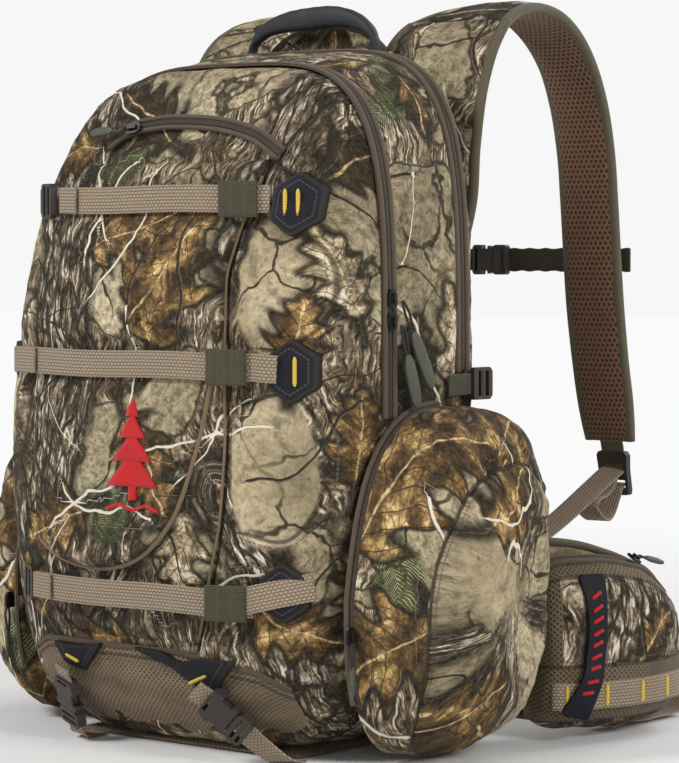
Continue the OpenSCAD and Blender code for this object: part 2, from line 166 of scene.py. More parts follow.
# ------------------------------------------------------------------ mesh building
def build(name, V, faces, mat, fuv=None, attrs=None, fmat=None, flip=None):
    me = bpy.data.meshes.new(name)
    V = W(V)
    me.vertices.add(len(V))
    me.vertices.foreach_set("co", V.astype(np.float32).ravel())
    faces = [np.asarray(f, np.int64) for f in faces if len(f)]
    loops = np.concatenate([f.ravel() for f in faces])
    counts = np.concatenate([np.full(len(f), f.shape[1]) for f in faces])
    starts = np.concatenate([[0], np.cumsum(counts)[:-1]])
    me.loops.add(len(loops))
    me.loops.foreach_set("vertex_index", loops.astype(np.int32))
    me.polygons.add(len(counts))
    me.polygons.foreach_set("loop_start", starts.astype(np.int32))
    me.polygons.foreach_set("use_smooth", np.ones(len(counts), bool))
    if fmat is not None:
        me.polygons.foreach_set("material_index", np.asarray(fmat, np.int32))
    me.update(calc_edges=True)
    uvl = me.uv_layers.new(name="flat")
    if fuv is not None:
        uv = np.concatenate([np.asarray(u, float).reshape(-1, 2) for u in fuv]) / 1000.0
        uvl.data.foreach_set("uv", uv.astype(np.float32).ravel())
    for k, v in (attrs or {}).items():
        v = np.asarray(v, float)
        if v.ndim == 1:
            a = me.attributes.new(k, "FLOAT", "POINT"); a.data.foreach_set("value", v.astype(np.float32))
        else:
            a = me.attributes.new(k, "FLOAT_VECTOR", "POINT"); a.data.foreach_set("vector", v.astype(np.float32).ravel())
    bm = bmesh.new(); bm.from_mesh(me)
    bmesh.ops.recalc_face_normals(bm, faces=bm.faces)
    if flip:
        bmesh.ops.reverse_faces(bm, faces=bm.faces)
    bm.to_mesh(me); bm.free()
    ob = bpy.data.objects.new(name, me)
    scene.collection.objects.link(ob)
    for m in (mat if isinstance(mat, (list, tuple)) else [mat]):
        me.materials.append(m)
    return ob


def grid_faces(n, m, cu=False, cv=False):
    """quads of an n x m grid; closed along u (rows) or v (columns). Returns vertex ids and grid (row, col) ids"""
    i = np.arange(n if cu else n - 1)[:, None]; j = np.arange(m if cv else m - 1)[None, :]
    a = np.stack(np.broadcast_arrays(i, j), -1).reshape(-1, 2)
    c = np.stack([a, a + [0, 1], a + [1, 1], a + [1, 0]], 1)
    ids = (c[..., 0] % n) * m + (c[..., 1] % m)
    return ids, c


def joined(name, parts, mat):
    """parts: list of (V, faces, fuv, attrs) -> one object"""
    V = []; F = []; U = []; A = {}; o = 0
    keys = set(k for p in parts for k in (p[3] or {}))
    for v, f, u, a in parts:
        V.append(v)
        for ff, uu in zip(f, u):
            F.append(np.asarray(ff) + o); U.append(uu)
        for k in keys:
            x = (a or {}).get(k)
            A.setdefault(k, []).append(np.asarray(x, float) if x is not None else None)
        o += len(v)
    attrs = {}
    for k in keys:
        w = max((x.shape[1] if x.ndim > 1 else 1) for x in A[k] if x is not None)
        attrs[k] = np.concatenate([(x if x is not None else (np.zeros((len(p[0]), w)) if w > 1 else np.zeros(len(p[0])))) for x, p in zip(A[k], parts)])
    # faces kept in the order of the parts
    return build(name, np.concatenate(V), F, mat, U, attrs)


def loft_data(R, caps=True, closed=True, u0=0.0, ends=None):
    """rings R (n, m, 3) -> V, faces, fuv, uv per vertex (mm)"""
    R = np.asarray(R, float)
    n, m, _ = R.shape
    d = np.linalg.norm(np.diff(np.concatenate([R, R[:, :1]], 1), axis=1), axis=2)
    U = np.concatenate([np.zeros((n, 1)), np.cumsum(d, 1)], 1).mean(0)[None, :].repeat(n, 0) + u0
    mid = R.mean(1)
    Vv = np.r_[0, np.cumsum(np.linalg.norm(np.diff(mid, axis=0), axis=1))][:, None].repeat(m + 1, 1)
    ids, c = grid_faces(n, m, False, closed)
    UV = np.stack([U, Vv], -1)
    fuv = UV[c[..., 0], c[..., 1]]
    V = R.reshape(-1, 3)
    faces = [ids]; fu = [fuv]
    uvv = UV[:, :m].reshape(-1, 2)
    if caps and closed:
        for k, (row, inv) in enumerate(((0, True), (n - 1, False))):
            ce = R[row].mean(0) if ends is None or ends[k] is None else np.asarray(ends[k], float)
            V = np.vstack([V, ce]); q = len(V) - 1
            j = np.arange(m)
            tri = np.stack([row * m + j, row * m + (j + 1) % m, np.full(m, q)], 1)
            if inv:
                tri = tri[:, ::-1]
            faces.append(tri)
            uvv = np.vstack([uvv, uvv[row * m:row * m + m].mean(0)])
            fu.append(uvv[tri])
    return V, faces, fu, uvv


def loft(name, R, mat, caps=True, ends=None, attrs=None):
    V, F, U, uvv = loft_data(R, caps, ends=ends)
    ob = build(name, V, F, mat, U, attrs)
    return ob, uvv


def rr_profile(w, t, k=6, e=None):
    """rounded flat section: (side, normal) points, counter-clockwise, starting at the back"""
    e = min(t / 2, w / 2) if e is None else e
    s = np.linspace(-w/2 + e, w/2 - e, k)
    arc = np.linspace(-90, 90, 5)[1:-1] * math.pi / 180
    right = np.stack([w/2 - e + e * np.cos(arc), t/2 * np.sin(arc)], 1)
    left = np.stack([-w/2 + e - e * np.cos(arc[::-1]), t/2 * np.sin(arc[::-1])], 1)
    back = np.stack([s, np.full(k, -t/2)], 1)
    front = np.stack([s[::-1], np.full(k, t/2)], 1)
    return np.concatenate([back, right, front, left])


def ribbon_data(C, S, N, w, t, k=6, prof=None):
    C = np.asarray(C, float); n = len(C)
    S = np.broadcast_to(S, C.shape); N = np.broadcast_to(N, C.shape)
    w = np.broadcast_to(w, (n,)); t = np.broadcast_to(t, (n,))
    R = []
    for i in range(n):
        p = rr_profile(w[i], t[i], k) if prof is None else prof
        R.append(C[i] + p[:, :1] * S[i] + p[:, 1:] * N[i])
    V, F, U, uvv = loft_data(np.array(R))
    return V, F, U, None


def path_frames(C, up):
    """tangent, side, normal along a path, with normal close to up"""
    T = unit(np.gradient(C, axis=0))
    S = unit(np.cross(T, np.broadcast_to(up, C.shape)))
    return T, S, unit(np.cross(S, T))


def tube_data(C, r, k=10, up=(0, 0, 1), flat=1.0):
    C = np.asarray(C, float)
    T = unit(np.gradient(C, axis=0))
    # parallel transport
    n = np.cross(T[0], np.asarray(up, float))
    if np.linalg.norm(n) < 1e-3:
        n = np.cross(T[0], [1, 0, 0])
    n = unit(n); Ns = [n]
    for i in range(1, len(C)):
        v = Ns[-1] - T[i] * (Ns[-1] @ T[i]); Ns.append(unit(v))
    Ns = np.array(Ns); B = np.cross(T, Ns)
    a = np.arange(k) * 2 * math.pi / k
    r = np.broadcast_to(r, (len(C),))
    R = C[:, None] + r[:, None, None] * (np.cos(a)[None, :, None] * Ns[:, None] + flat * np.sin(a)[None, :, None] * B[:, None])
    V, F, U, uvv = loft_data(R)
    return V, F, U, None


def finish_piece(ob, body, nodes=(), bl=None):
    if bl:
        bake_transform(ob)
    else:
        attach(ob, body)
    if nodes:
        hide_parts(*nodes)
    return ob


def frame_at(p, d, n):
    """z along d, y close to n"""
    e3 = unit(d); e1 = unit(np.cross(n, e3)); e2 = np.cross(e3, e1)
    M = np.eye(4); M[:3, 0] = e1; M[:3, 1] = e2; M[:3, 2] = e3; M[:3, 3] = p
    return M


def bm_prism(pts, z0, z1, axis=1):
    """extruded outline; pts in the plane, axis is the extrusion axis"""
    bm = bmesh.new()
    def P(a, b, c):
        return {0: (c, a, b), 1: (a, c, b), 2: (a, b, c)}[axis]
    lo = [bm.verts.new(P(x, y, z0)) for x, y in pts]
    hi = [bm.verts.new(P(x, y, z1)) for x, y in pts]
    bm.faces.new(lo); bm.faces.new(hi[::-1])
    for i in range(len(pts)):
        j = (i + 1) % len(pts)
        bm.faces.new([lo[i], hi[i], hi[j], lo[j]])
    bmesh.ops.recalc_face_normals(bm, faces=bm.faces)
    return bm


def rect(x0, x1, y0, y1, r=0.0, k=4):
    if r <= 0:
        return [(x0, y0), (x1, y0), (x1, y1), (x0, y1)]
    out = []
    for cx, cy, a in ((x1 - r, y0 + r, -90), (x1 - r, y1 - r, 0), (x0 + r, y1 - r, 90), (x0 + r, y0 + r, 180)):
        for i in range(k + 1):
            t = math.radians(a + 90 * i / k)
            out.append((cx + r * math.cos(t), cy + r * math.sin(t)))
    return out


def tmp_ob(bm, M=None):
    me = bpy.data.meshes.new("t"); bm.to_mesh(me); bm.free()
    if M is not None:
        me.transform(Matrix(M))
    o = bpy.data.objects.new("t", me); scene.collection.objects.link(o)
    return o


def apply_mods(ob):
    bpy.context.view_layer.update()
    dg = bpy.context.evaluated_depsgraph_get()
    me = bpy.data.meshes.new_from_object(ob.evaluated_get(dg), preserve_all_data_layers=True, depsgraph=dg)
    old = ob.data
    ob.modifiers.clear(); ob.data = me
    bpy.data.meshes.remove(old)


def solid(name, adds, cuts, mat, bevel=0.6, M=None, segs=3, angle=32):
    """hard moulded piece: union of adds minus cuts, edges rounded; local millimetres -> M -> row frame"""
    first = tmp_ob(adds[0])
    others = [tmp_ob(b) for b in adds[1:]]
    cutters = [tmp_ob(b) for b in cuts]
    for o in others:
        m = first.modifiers.new("u", "BOOLEAN"); m.operation = "UNION"; m.solver = "EXACT"; m.object = o
    for o in cutters:
        m = first.modifiers.new("c", "BOOLEAN"); m.operation = "DIFFERENCE"; m.solver = "EXACT"; m.object = o
    if bevel:
        m = first.modifiers.new("b", "BEVEL"); m.width = bevel; m.segments = segs; m.limit_method = "ANGLE"; m.angle_limit = math.radians(angle)
        m.use_clamp_overlap = True
    apply_mods(first)
    for o in others + cutters:
        bpy.data.objects.remove(o)
    me = first.data
    co = np.zeros(len(me.vertices) * 3); me.vertices.foreach_get("co", co); co = co.reshape(-1, 3)
    if M is not None:
        co = co @ M[:3, :3].T + M[:3, 3]
    uvl = me.uv_layers.get("flat") or me.uv_layers.new(name="flat")
    me.vertices.foreach_set("co", W(co).astype(np.float32).ravel())
    for p in me.polygons:
        p.use_smooth = True
    me.update()
    first.name = name; me.name = name
    me.materials.clear(); me.materials.append(mat)
    # flat uv by dominant axis, metres
    bm = bmesh.new(); bm.from_mesh(me); ul = bm.loops.layers.uv["flat"]
    bm.normal_update()
    for f in bm.faces:
        n = f.normal; a = max(range(3), key=lambda q: abs(n[q])); o = [q for q in range(3) if q != a]
        for l in f.loops:
            l[ul].uv = (l.vert.co[o[0]], l.vert.co[o[1]])
    bm.to_mesh(me); bm.free()
    m = first.modifiers.new("w", "WEIGHTED_NORMAL"); m.keep_sharp = False
    apply_mods(first)
    return first


# ------------------------------------------------------------------ the bag's analytic surfaces (design millimetres)
half_w, arch_front, arch_rear, zc, y0, hb, slump = 162.0, 267.0, 281.0, 240.0, -19.0, 236.0, 3.0
DT = np.array([[0, 92], [65, 94], [150, 92], [215, 90], [300, 88], [380, 84], [462, 78], [505, 72]], float)
FT = np.array([[0, 3], [150, 3.4], [288, 4], [350, 3.4], [408, 2.7], [460, 2.2], [505, 2]], float)


def rho(x, z, w, ht, b, nl):
    x = np.asarray(x, float); z = np.asarray(z, float)
    n = np.where(z < zc, 5.0, np.where(x < 0, nl, 4.6))
    return ((np.abs(x) / w) ** n + (np.abs(z - zc) / np.where(z >= zc, ht, b)) ** n) ** (1 / n)


def edge(t, w, ht, b, nl=4.6):
    t = np.radians(t); c = np.cos(t); s = np.sin(t)
    h = np.where(s >= 0, ht, b)
    r = rho(w * c, zc + h * s, w, ht, b, nl)
    return np.stack([w * c / r, zc + h * s / r], -1)


def yf(x, z, o=0.0):
    r = np.minimum(rho(x, z, half_w, arch_front - 1, hb, slump), 1.0)
    k = np.interp(z, FT[:, 0], FT[:, 1])
    return y0 - 0.3 - (np.interp(z, DT[:, 0], DT[:, 1]) + o) * np.clip(1 - r ** k, 0, 1) ** (1 / 3)


def nf(x, z, o=0.0):
    """outward unit normal of the domed front"""
    h = 1.0
    dx = (yf(x + h, z, o) - yf(x - h, z, o)) / (2 * h); dz = (yf(x, z + h, o) - yf(x, z - h, o)) / (2 * h)
    return unit(np.stack([dx, -np.ones_like(dx), dz], -1))


fp_r = np.array([[84, 56], [113, 66], [173, 81], [234, 85], [356, 82], [394, 92], [436, 104]], float)
fp_l = np.array([[84, -84], [113, -96], [173, -108], [234, -112], [356, -104], [394, -96], [436, -78]], float)
boot_top = np.array([[-128, 66], [-100, 78], [37, 78], [106, 68], [136, 52]], float)
comp = [[408, -84, 114], [288, -128, 117], [119, -98, 111]]


# ------------------------------------------------------------------ the printed cloth: leaves, bark, twigs and needles on one pattern plane
rng = np.random.RandomState(11)
LEAVES, TRUNKS, TWIGS, NEEDLES = [], [], [], []


def leaf(x, y, ang, L, Wd, tone, lobes=4, bend=0.0):
    LEAVES.append((x, y, math.radians(ang), L, Wd, tone, lobes, bend))


def trunk(pts, hw):
    TRUNKS.append((np.array(pts, float), hw))


def twig(pts, hw, tone):
    TWIGS.append((cr(pts, 14), hw, tone))


def needles(x, y, ang, L):
    NEEDLES.append((x, y, math.radians(ang), L))


def scatter(cx, cy, size, nl, nt, nn, bark=True, lmin=46, lmax=105):
    for k in range(nl):
        L = rng.uniform(lmin, lmax)
        leaf(cx + rng.uniform(-size, size), cy + rng.uniform(-size, size), rng.uniform(0, 360), L, L * rng.uniform(0.24, 0.36), rng.uniform(0, 1), rng.randint(3, 6), rng.uniform(-3, 3) / 1000)
    if bark:
        x = cx - size
        while x < cx + size:
            tx = x + rng.uniform(-40, 40); hw = rng.uniform(20, 42); sl = rng.uniform(-0.25, 0.25)
            yy = np.linspace(cy - size, cy + size, 9)
            trunk([[tx + sl * (q - cy) + rng.uniform(-16, 16), q] for q in yy], hw)
            x += rng.uniform(150, 230)
    for k in range(nt):
        p = np.array([cx + rng.uniform(-size, size), cy + rng.uniform(-size, size)]); a = rng.uniform(0, 2 * math.pi); pts = [p]
        for q in range(rng.randint(3, 6)):
            a += rng.uniform(-0.5, 0.5); p = p + rng.uniform(18, 42) * np.array([math.cos(a), math.sin(a)]); pts.append(p)
        twig(pts, rng.uniform(0.5, 1.9), rng.uniform(0, 1))
    for k in range(nn):
        needles(cx + rng.uniform(-size, size), cy + rng.uniform(-size, size), rng.uniform(0, 360), rng.uniform(40, 75))


scatter(0, 0, 700, 170, 120, 34)                    # general cloth
# cloth of the front panel (plane centred on x 4000): bark to the left, plain on the right
trunk([[3906, 300], [3912, 200], [3925, 110], [3926, 20], [3908, -60], [3900, -150], [3890, -300]], 40)
trunk([[4130, 300], [4112, 215], [4104, 150], [4100, 110]], 20)
trunk([[3800, 280], [3820, 100], [3815, -80], [3790, -260]], 26)
trunk([[4080, -40], [4110, -90], [4128, -150], [4150, -260]], 22)
trunk([[4030, -30], [3985, -110], [3950, -180], [3930, -280]], 17)
for a in [(4022, 62, 72, 118, 44, .20, 4), (4062, 150, -128, 92, 36, .30, 4), (3960, 132, 20, 92, 34, .12, 4), (4004, 10, -60, 86, 32, .34, 4),
          (3842, 60, 110, 84, 30, .26, 4), (3838, -60, 250, 84, 32, .30, 4), (3960, -60, 200, 88, 34, .2, 4), (4056, -60, 262, 74, 26, .66, 4),
          (4134, 40, 80, 66, 24, .14, 4), (4096, -120, -30, 84, 30, .24, 4), (3990, -165, 190, 88, 34, .28, 4), (3900, -150, 130, 66, 26, .1, 3),
          (4010, 215, 150, 84, 30, .55, 4), (3930, 215, 190, 70, 26, .36, 4), (4150, 190, 60, 70, 26, .5, 4), (4180, -40, 80, 80, 30, .3, 4), (4182, 90, 120, 74, 26, .62, 4),
          (3766, 140, 30, 84, 30, .2, 4), (3770, -130, 300, 84, 30, .6, 4), (4060, -210, 160, 84, 30, .2, 4), (3950, -230, 20, 80, 30, .16, 4), (3876, -214, 200, 70, 26, .5, 4),
          (4120, -200, 220, 76, 28, .26, 4), (4190, -150, 100, 70, 26, .2, 4)]:
    leaf(*a)
for a in [(4052, 66, 200, 62), (4006, -76, 150, 66), (3868, -128, 60, 60), (3790, 10, 100, 60), (4108, -132, 30, 50), (3950, 186, 20, 50), (4168, 120, 300, 50)]:
    needles(*a)
for k in range(44):
    p = np.array([4000 + rng.uniform(-230, 230), rng.uniform(-300, 300)]); a = rng.uniform(0, 2 * math.pi); pts = [p]
    for q in range(4):
        a += rng.uniform(-0.5, 0.5); p = p + rng.uniform(16, 34) * np.array([math.cos(a), math.sin(a)]); pts.append(p)
    twig(pts, rng.uniform(0.4, 1.5), rng.uniform(0, 1))
# cloth of the side pocket's front gusset (x 8000) : large golden leaves
scatter(8000, 0, 220, 10, 14, 2, False)
for a in [(7960, -70, 62, 150, 52, .12, 5), (8050, 30, 120, 120, 42, .2, 4), (7930, 60, 20, 110, 40, .3, 4), (8040, -110, 200, 110, 40, .24, 4), (7900, -40, 80, 110, 40, .58, 4),
          (8110, -60, 70, 110, 40, .16, 4), (8080, 110, 260, 100, 36, .26, 4), (7980, 130, 300, 100, 36, .18, 4)]:
    leaf(*a)
# cloth of the side pocket's outer face (x 12000): mostly plain with a branch and bark at the bottom
trunk([[11880, -44], [11950, -34], [12040, -22], [12140, -30]], 13)
trunk([[11900, -150], [11960, -60], [12020, 20], [12050, 110]], 8)
for a in [(11960, 70, 30, 90, 32, .2, 4), (12010, -120, 160, 100, 36, .3, 4), (12080, -90, 60, 90, 30, .5, 4), (11920, -110, 20, 80, 30, .24, 4), (12110, 60, 80, 80, 28, .62, 4)]:
    leaf(*a)
for k in range(9):
    p = np.array([12000 + rng.uniform(-120, 120), rng.uniform(-140, 140)]); a = rng.uniform(0, 2 * math.pi); pts = [p]
    for q in range(4):
        a += rng.uniform(-0.5, 0.5); p = p + rng.uniform(16, 34) * np.array([math.cos(a), math.sin(a)]); pts.append(p)
    twig(pts, rng.uniform(0.4, 1.2), rng.uniform(0, 1))


PLAIN = [(4126, 106, 34, 60), (4122, -26, 36, 58), (11990, 16, 60, 74), (3845, 40, 16, 60)]


def camo_attrs(Q):
    """pattern attributes at pattern-plane points Q (n, 2) in millimetres"""
    Q = np.asarray(Q, float)
    n = len(Q)
    Q = Q + 5.0 * np.stack([fbm(np.c_[Q / 26, np.zeros(n)], 5), fbm(np.c_[Q / 26, np.ones(n) * 7], 6)], 1)
    lo, hi = Q.min(0) - 40, Q.max(0) + 40
    ld = np.full(n, 30.0); la = np.zeros(n); lb = np.zeros(n); lt = np.zeros(n); inside = np.zeros(n, bool)
    for (x, y, ang, L, Wd, tone, lobes, bend) in LEAVES:
        if x < lo[0] - L or x > hi[0] + L or y < lo[1] - L or y > hi[1] + L:
            continue
        r = Q - [x, y]
        m = np.where((np.abs(r[:, 0]) < L * 1.2 + 20) & (np.abs(r[:, 1]) < L * 1.2 + 20))[0]
        if not len(m):
            continue
        r = r[m]
        a = r[:, 0] * math.cos(ang) + r[:, 1] * math.sin(ang)
        b = -r[:, 0] * math.sin(ang) + r[:, 1] * math.cos(ang) + bend * a * a
        u = np.clip(a / L, 0, 1)
        E = Wd * np.sin(math.pi * u ** 0.82) ** 0.62
        c = a - 0.55 * np.abs(b)
        lob = 0.60 + 0.40 * np.cos(2 * math.pi * c * lobes / L + 0.6 + 0.5 * np.sign(b))
        d = np.abs(b) - E * (0.30 + 0.70 * lob)
        d = np.maximum(d, np.maximum(-a, a - L))
        stem = np.maximum(np.abs(b) - 1.3, np.maximum(a - 2, -a - 0.28 * L))
        d = np.clip(np.minimum(d, stem), -14, 30)
        now = d < 0
        take = now | (~inside[m] & (d < ld[m]))
        mm = m[take]
        ld[mm] = d[take]; la[mm] = a[take]; lb[mm] = b[take]; lt[mm] = tone
        inside[m[now]] = True
    td = np.full(n, 30.0); ta = np.zeros(n); tb = np.zeros(n)
    for pts, hw in TRUNKS:
        if pts[:, 0].max() + 90 < lo[0] or pts[:, 0].min() - 90 > hi[0] or pts[:, 1].max() + 90 < lo[1] or pts[:, 1].min() - 90 > hi[1]:
            continue
        d, al = seg_dist(Q, pts)
        e = np.abs(d) - hw - 5 * fbm(np.c_[Q / 21, np.zeros(n)], 31)
        t = (e < td)
        td[t] = e[t]; ta[t] = al[t] + pts[0, 0]; tb[t] = d[t]
    wd = np.full(n, 30.0); wt = np.zeros(n); wh = np.ones(n)
    for pts, hw, tone in TWIGS:
        if pts[:, 0].max() + 10 < lo[0] or pts[:, 0].min() - 10 > hi[0] or pts[:, 1].max() + 10 < lo[1] or pts[:, 1].min() - 10 > hi[1]:
            continue
        m = np.where((Q[:, 0] > pts[:, 0].min() - 8) & (Q[:, 0] < pts[:, 0].max() + 8) & (Q[:, 1] > pts[:, 1].min() - 8) & (Q[:, 1] < pts[:, 1].max() + 8))[0]
        if not len(m):
            continue
        d, al = seg_dist(Q[m], pts)
        e = d / hw
        t = np.abs(d) < np.abs(wd[m])
        mm = m[t]
        wd[mm] = d[t]; wt[mm] = tone; wh[mm] = hw
    nx = np.full(n, 99.0); ny = np.zeros(n); nm = np.full(n, 30.0)
    for x, y, ang, L in NEEDLES:
        r = Q - [x, y]
        m = np.where((np.abs(r[:, 0]) < L * 1.3) & (np.abs(r[:, 1]) < L * 1.3))[0]
        if not len(m):
            continue
        r = r[m]
        a = r[:, 0] * math.cos(ang) + r[:, 1] * math.sin(ang); b = -r[:, 0] * math.sin(ang) + r[:, 1] * math.cos(ang)
        e = np.maximum(np.abs(b) - 0.36 * L * np.sin(math.pi * np.clip(a / L + 0.12, 0, 1)) ** 0.6, np.maximum(-a - 4, a - L))
        t = e < nm[m]
        mm = m[t]
        nx[mm] = b[t]; ny[mm] = a[t]; nm[mm] = e[t]
    pk = np.zeros(n)
    for cx_, cy_, rx_, ry_ in PLAIN:
        pk = np.maximum(pk, 1 - sm(np.hypot((Q[:, 0] - cx_) / rx_, (Q[:, 1] - cy_) / ry_), 0.90, 1.06))
    return {"cK": pk, "cP": np.c_[Q / 1000, np.zeros(n)], "cL": np.c_[ld, la, lb], "cM": np.c_[lt, wd, wt], "cT": np.c_[td, ta, tb], "cN": np.c_[nx, ny, np.clip(nm, -10, 30)], "cW": wh}


def cut(uv, rot=0.0, at=(0, 0)):
    """places a piece's flat outline (mm) on the pattern plane"""
    a = math.radians(rot); c, s = math.cos(a), math.sin(a)
    return np.stack([uv[:, 0] * c - uv[:, 1] * s + at[0], uv[:, 0] * s + uv[:, 1] * c + at[1]], 1)


# ------------------------------------------------------------------ node helper
class G:
    def __init__(s, name):
        s.mat = bpy.data.materials.new(name); s.mat.use_nodes = True
        s.nt = s.mat.node_tree; s.nt.nodes.clear()
        s.out = s.nt.nodes.new("ShaderNodeOutputMaterial")
        s.b = s.nt.nodes.new("ShaderNodeBsdfPrincipled")
        s.nt.links.new(s.b.outputs[0], s.out.inputs[0])

    def put(s, sock, v):
        if isinstance(v, bpy.types.NodeSocket):
            s.nt.links.new(v, sock)
        elif isinstance(v, (tuple, list)) and len(v) == 3 and sock.type == "RGBA":
            sock.default_value = (*v, 1)
        else:
            sock.default_value = v

    def m(s, op, a, b=None, c=None, clamp=False):
        n = s.nt.nodes.new("ShaderNodeMath"); n.operation = op; n.use_clamp = clamp
        s.put(n.inputs[0], a)
        if b is not None: s.put(n.inputs[1], b)
        if c is not None: s.put(n.inputs[2], c)
        return n.outputs[0]

    def vm(s, op, a, b=None, scale=None):
        n = s.nt.nodes.new("ShaderNodeVectorMath"); n.operation = op
        s.put(n.inputs[0], a)
        if b is not None: s.put(n.inputs[1], b)
        if scale is not None: s.put(n.inputs["Scale"], scale)
        return n.outputs["Value"] if op in ("LENGTH", "DISTANCE", "DOT_PRODUCT") else n.outputs[0]

    def mix(s, f, a, b, mode="MIX"):
        n = s.nt.nodes.new("ShaderNodeMix"); n.data_type = "RGBA"; n.blend_type = mode; n.clamp_factor = True
        s.put(n.inputs[0], f); s.put(n.inputs[6], a); s.put(n.inputs[7], b)
        return n.outputs[2]

    def noise(s, v, scale, detail=2.0, rough=0.5, dist=0.0, color=False):
        n = s.nt.nodes.new("ShaderNodeTexNoise"); s.put(n.inputs["Vector"], v)
        n.inputs["Scale"].default_value = scale; n.inputs["Detail"].default_value = detail
        n.inputs["Roughness"].default_value = rough; n.inputs["Distortion"].default_value = dist
        return n.outputs["Color"] if color else n.outputs["Fac"]

    def vor(s, v, scale, feature="F1", rand=1.0, out="Distance", dims="3D"):
        n = s.nt.nodes.new("ShaderNodeTexVoronoi"); n.feature = feature; n.voronoi_dimensions = dims
        s.put(n.inputs["Vector"], v); n.inputs["Scale"].default_value = scale; n.inputs["Randomness"].default_value = rand
        return n.outputs[out]

    def ramp(s, f, stops, mode="LINEAR"):
        n = s.nt.nodes.new("ShaderNodeValToRGB"); s.put(n.inputs[0], f)
        e = n.color_ramp; e.interpolation = mode
        while len(e.elements) < len(stops): e.elements.new(0.5)
        for el, (p, c) in zip(e.elements, stops):
            el.position = p; el.color = (*c, 1) if len(c) == 3 else c
        return n.outputs[0]

    def attr(s, name, out="Fac"):
        n = s.nt.nodes.new("ShaderNodeAttribute"); n.attribute_type = "GEOMETRY"; n.attribute_name = name
        return n.outputs[out]

    def sep(s, v):
        n = s.nt.nodes.new("ShaderNodeSeparateXYZ"); s.put(n.inputs[0], v)
        return n.outputs

    def comb(s, x, y, z=0.0):
        n = s.nt.nodes.new("ShaderNodeCombineXYZ"); s.put(n.inputs[0], x); s.put(n.inputs[1], y); s.put(n.inputs[2], z)
        return n.outputs[0]

    def uv(s):
        n = s.nt.nodes.new("ShaderNodeUVMap"); n.uv_map = "flat"
        return n.outputs[0]

    def obj(s):
        n = s.nt.nodes.new("ShaderNodeTexCoord")
        return n.outputs["Object"]

    def step(s, x, lo, hi):
        n = s.nt.nodes.new("ShaderNodeMapRange"); n.interpolation_type = "SMOOTHSTEP"; n.clamp = True
        s.put(n.inputs[0], x); n.inputs[1].default_value = lo; n.inputs[2].default_value = hi
        return n.outputs[0]

    def bump(s, h, strength=0.5, dist=0.001, prev=None):
        n = s.nt.nodes.new("ShaderNodeBump"); n.inputs["Strength"].default_value = strength
        n.inputs["Distance"].default_value = dist; s.put(n.inputs["Height"], h)
        if prev is not None: s.put(n.inputs["Normal"], prev)
        return n.outputs[0]

    def set(s, **k):
        names = {"color": "Base Color", "rough": "Roughness", "metal": "Metallic", "normal": "Normal", "sheen": "Sheen Weight", "sheen_rough": "Sheen Roughness",
                 "spec": "Specular IOR Level", "coat": "Coat Weight", "coat_rough": "Coat Roughness", "sheen_tint": "Sheen Tint"}
        for a, v in k.items():
            s.put(s.b.inputs[names[a]], v)
        return s.mat


def saw(g, x, period):
    """0..1 triangle of x with that period"""
    f = g.m("FRACT", g.m("DIVIDE", x, period))
    return g.m("ABSOLUTE", g.m("SUBTRACT", g.m("MULTIPLY", f, 2.0), 1.0))


def seam_lines(g, col, h):
    """dark seam with a row of stitches beside it; attribute seam = (signed distance mm, along mm, strength)"""
    sx = g.sep(g.attr("seam", "Vector"))
    d = g.m("ABSOLUTE", sx[0])
    line = g.m("MULTIPLY", g.m("SUBTRACT", 1.0, g.step(d, 0.5, 2.0)), sx[2])
    col = g.mix(g.m("MULTIPLY", line, 0.75), col, (0.035, 0.028, 0.02))
    sd = g.m("ABSOLUTE", g.m("SUBTRACT", sx[0], 4.2))
    dash = g.m("GREATER_THAN", g.m("FRACT", g.m("DIVIDE", sx[1], 3.6)), 0.28)
    st = g.m("MULTIPLY", g.m("MULTIPLY", g.m("SUBTRACT", 1.0, g.step(sd, 0.25, 0.6)), dash), sx[2])
    col = g.mix(g.m("MULTIPLY", st, 0.8), col, (0.10, 0.085, 0.06))
    h = g.m("SUBTRACT", h, g.m("MULTIPLY", line, 1.2))
    h = g.m("SUBTRACT", h, g.m("MULTIPLY", g.m("MULTIPLY", g.m("SUBTRACT", 1.0, g.step(sd, 0.0, 1.6)), sx[2]), 0.35))
    h = g.m("ADD", h, g.m("MULTIPLY", st, 0.3))
    return col, h


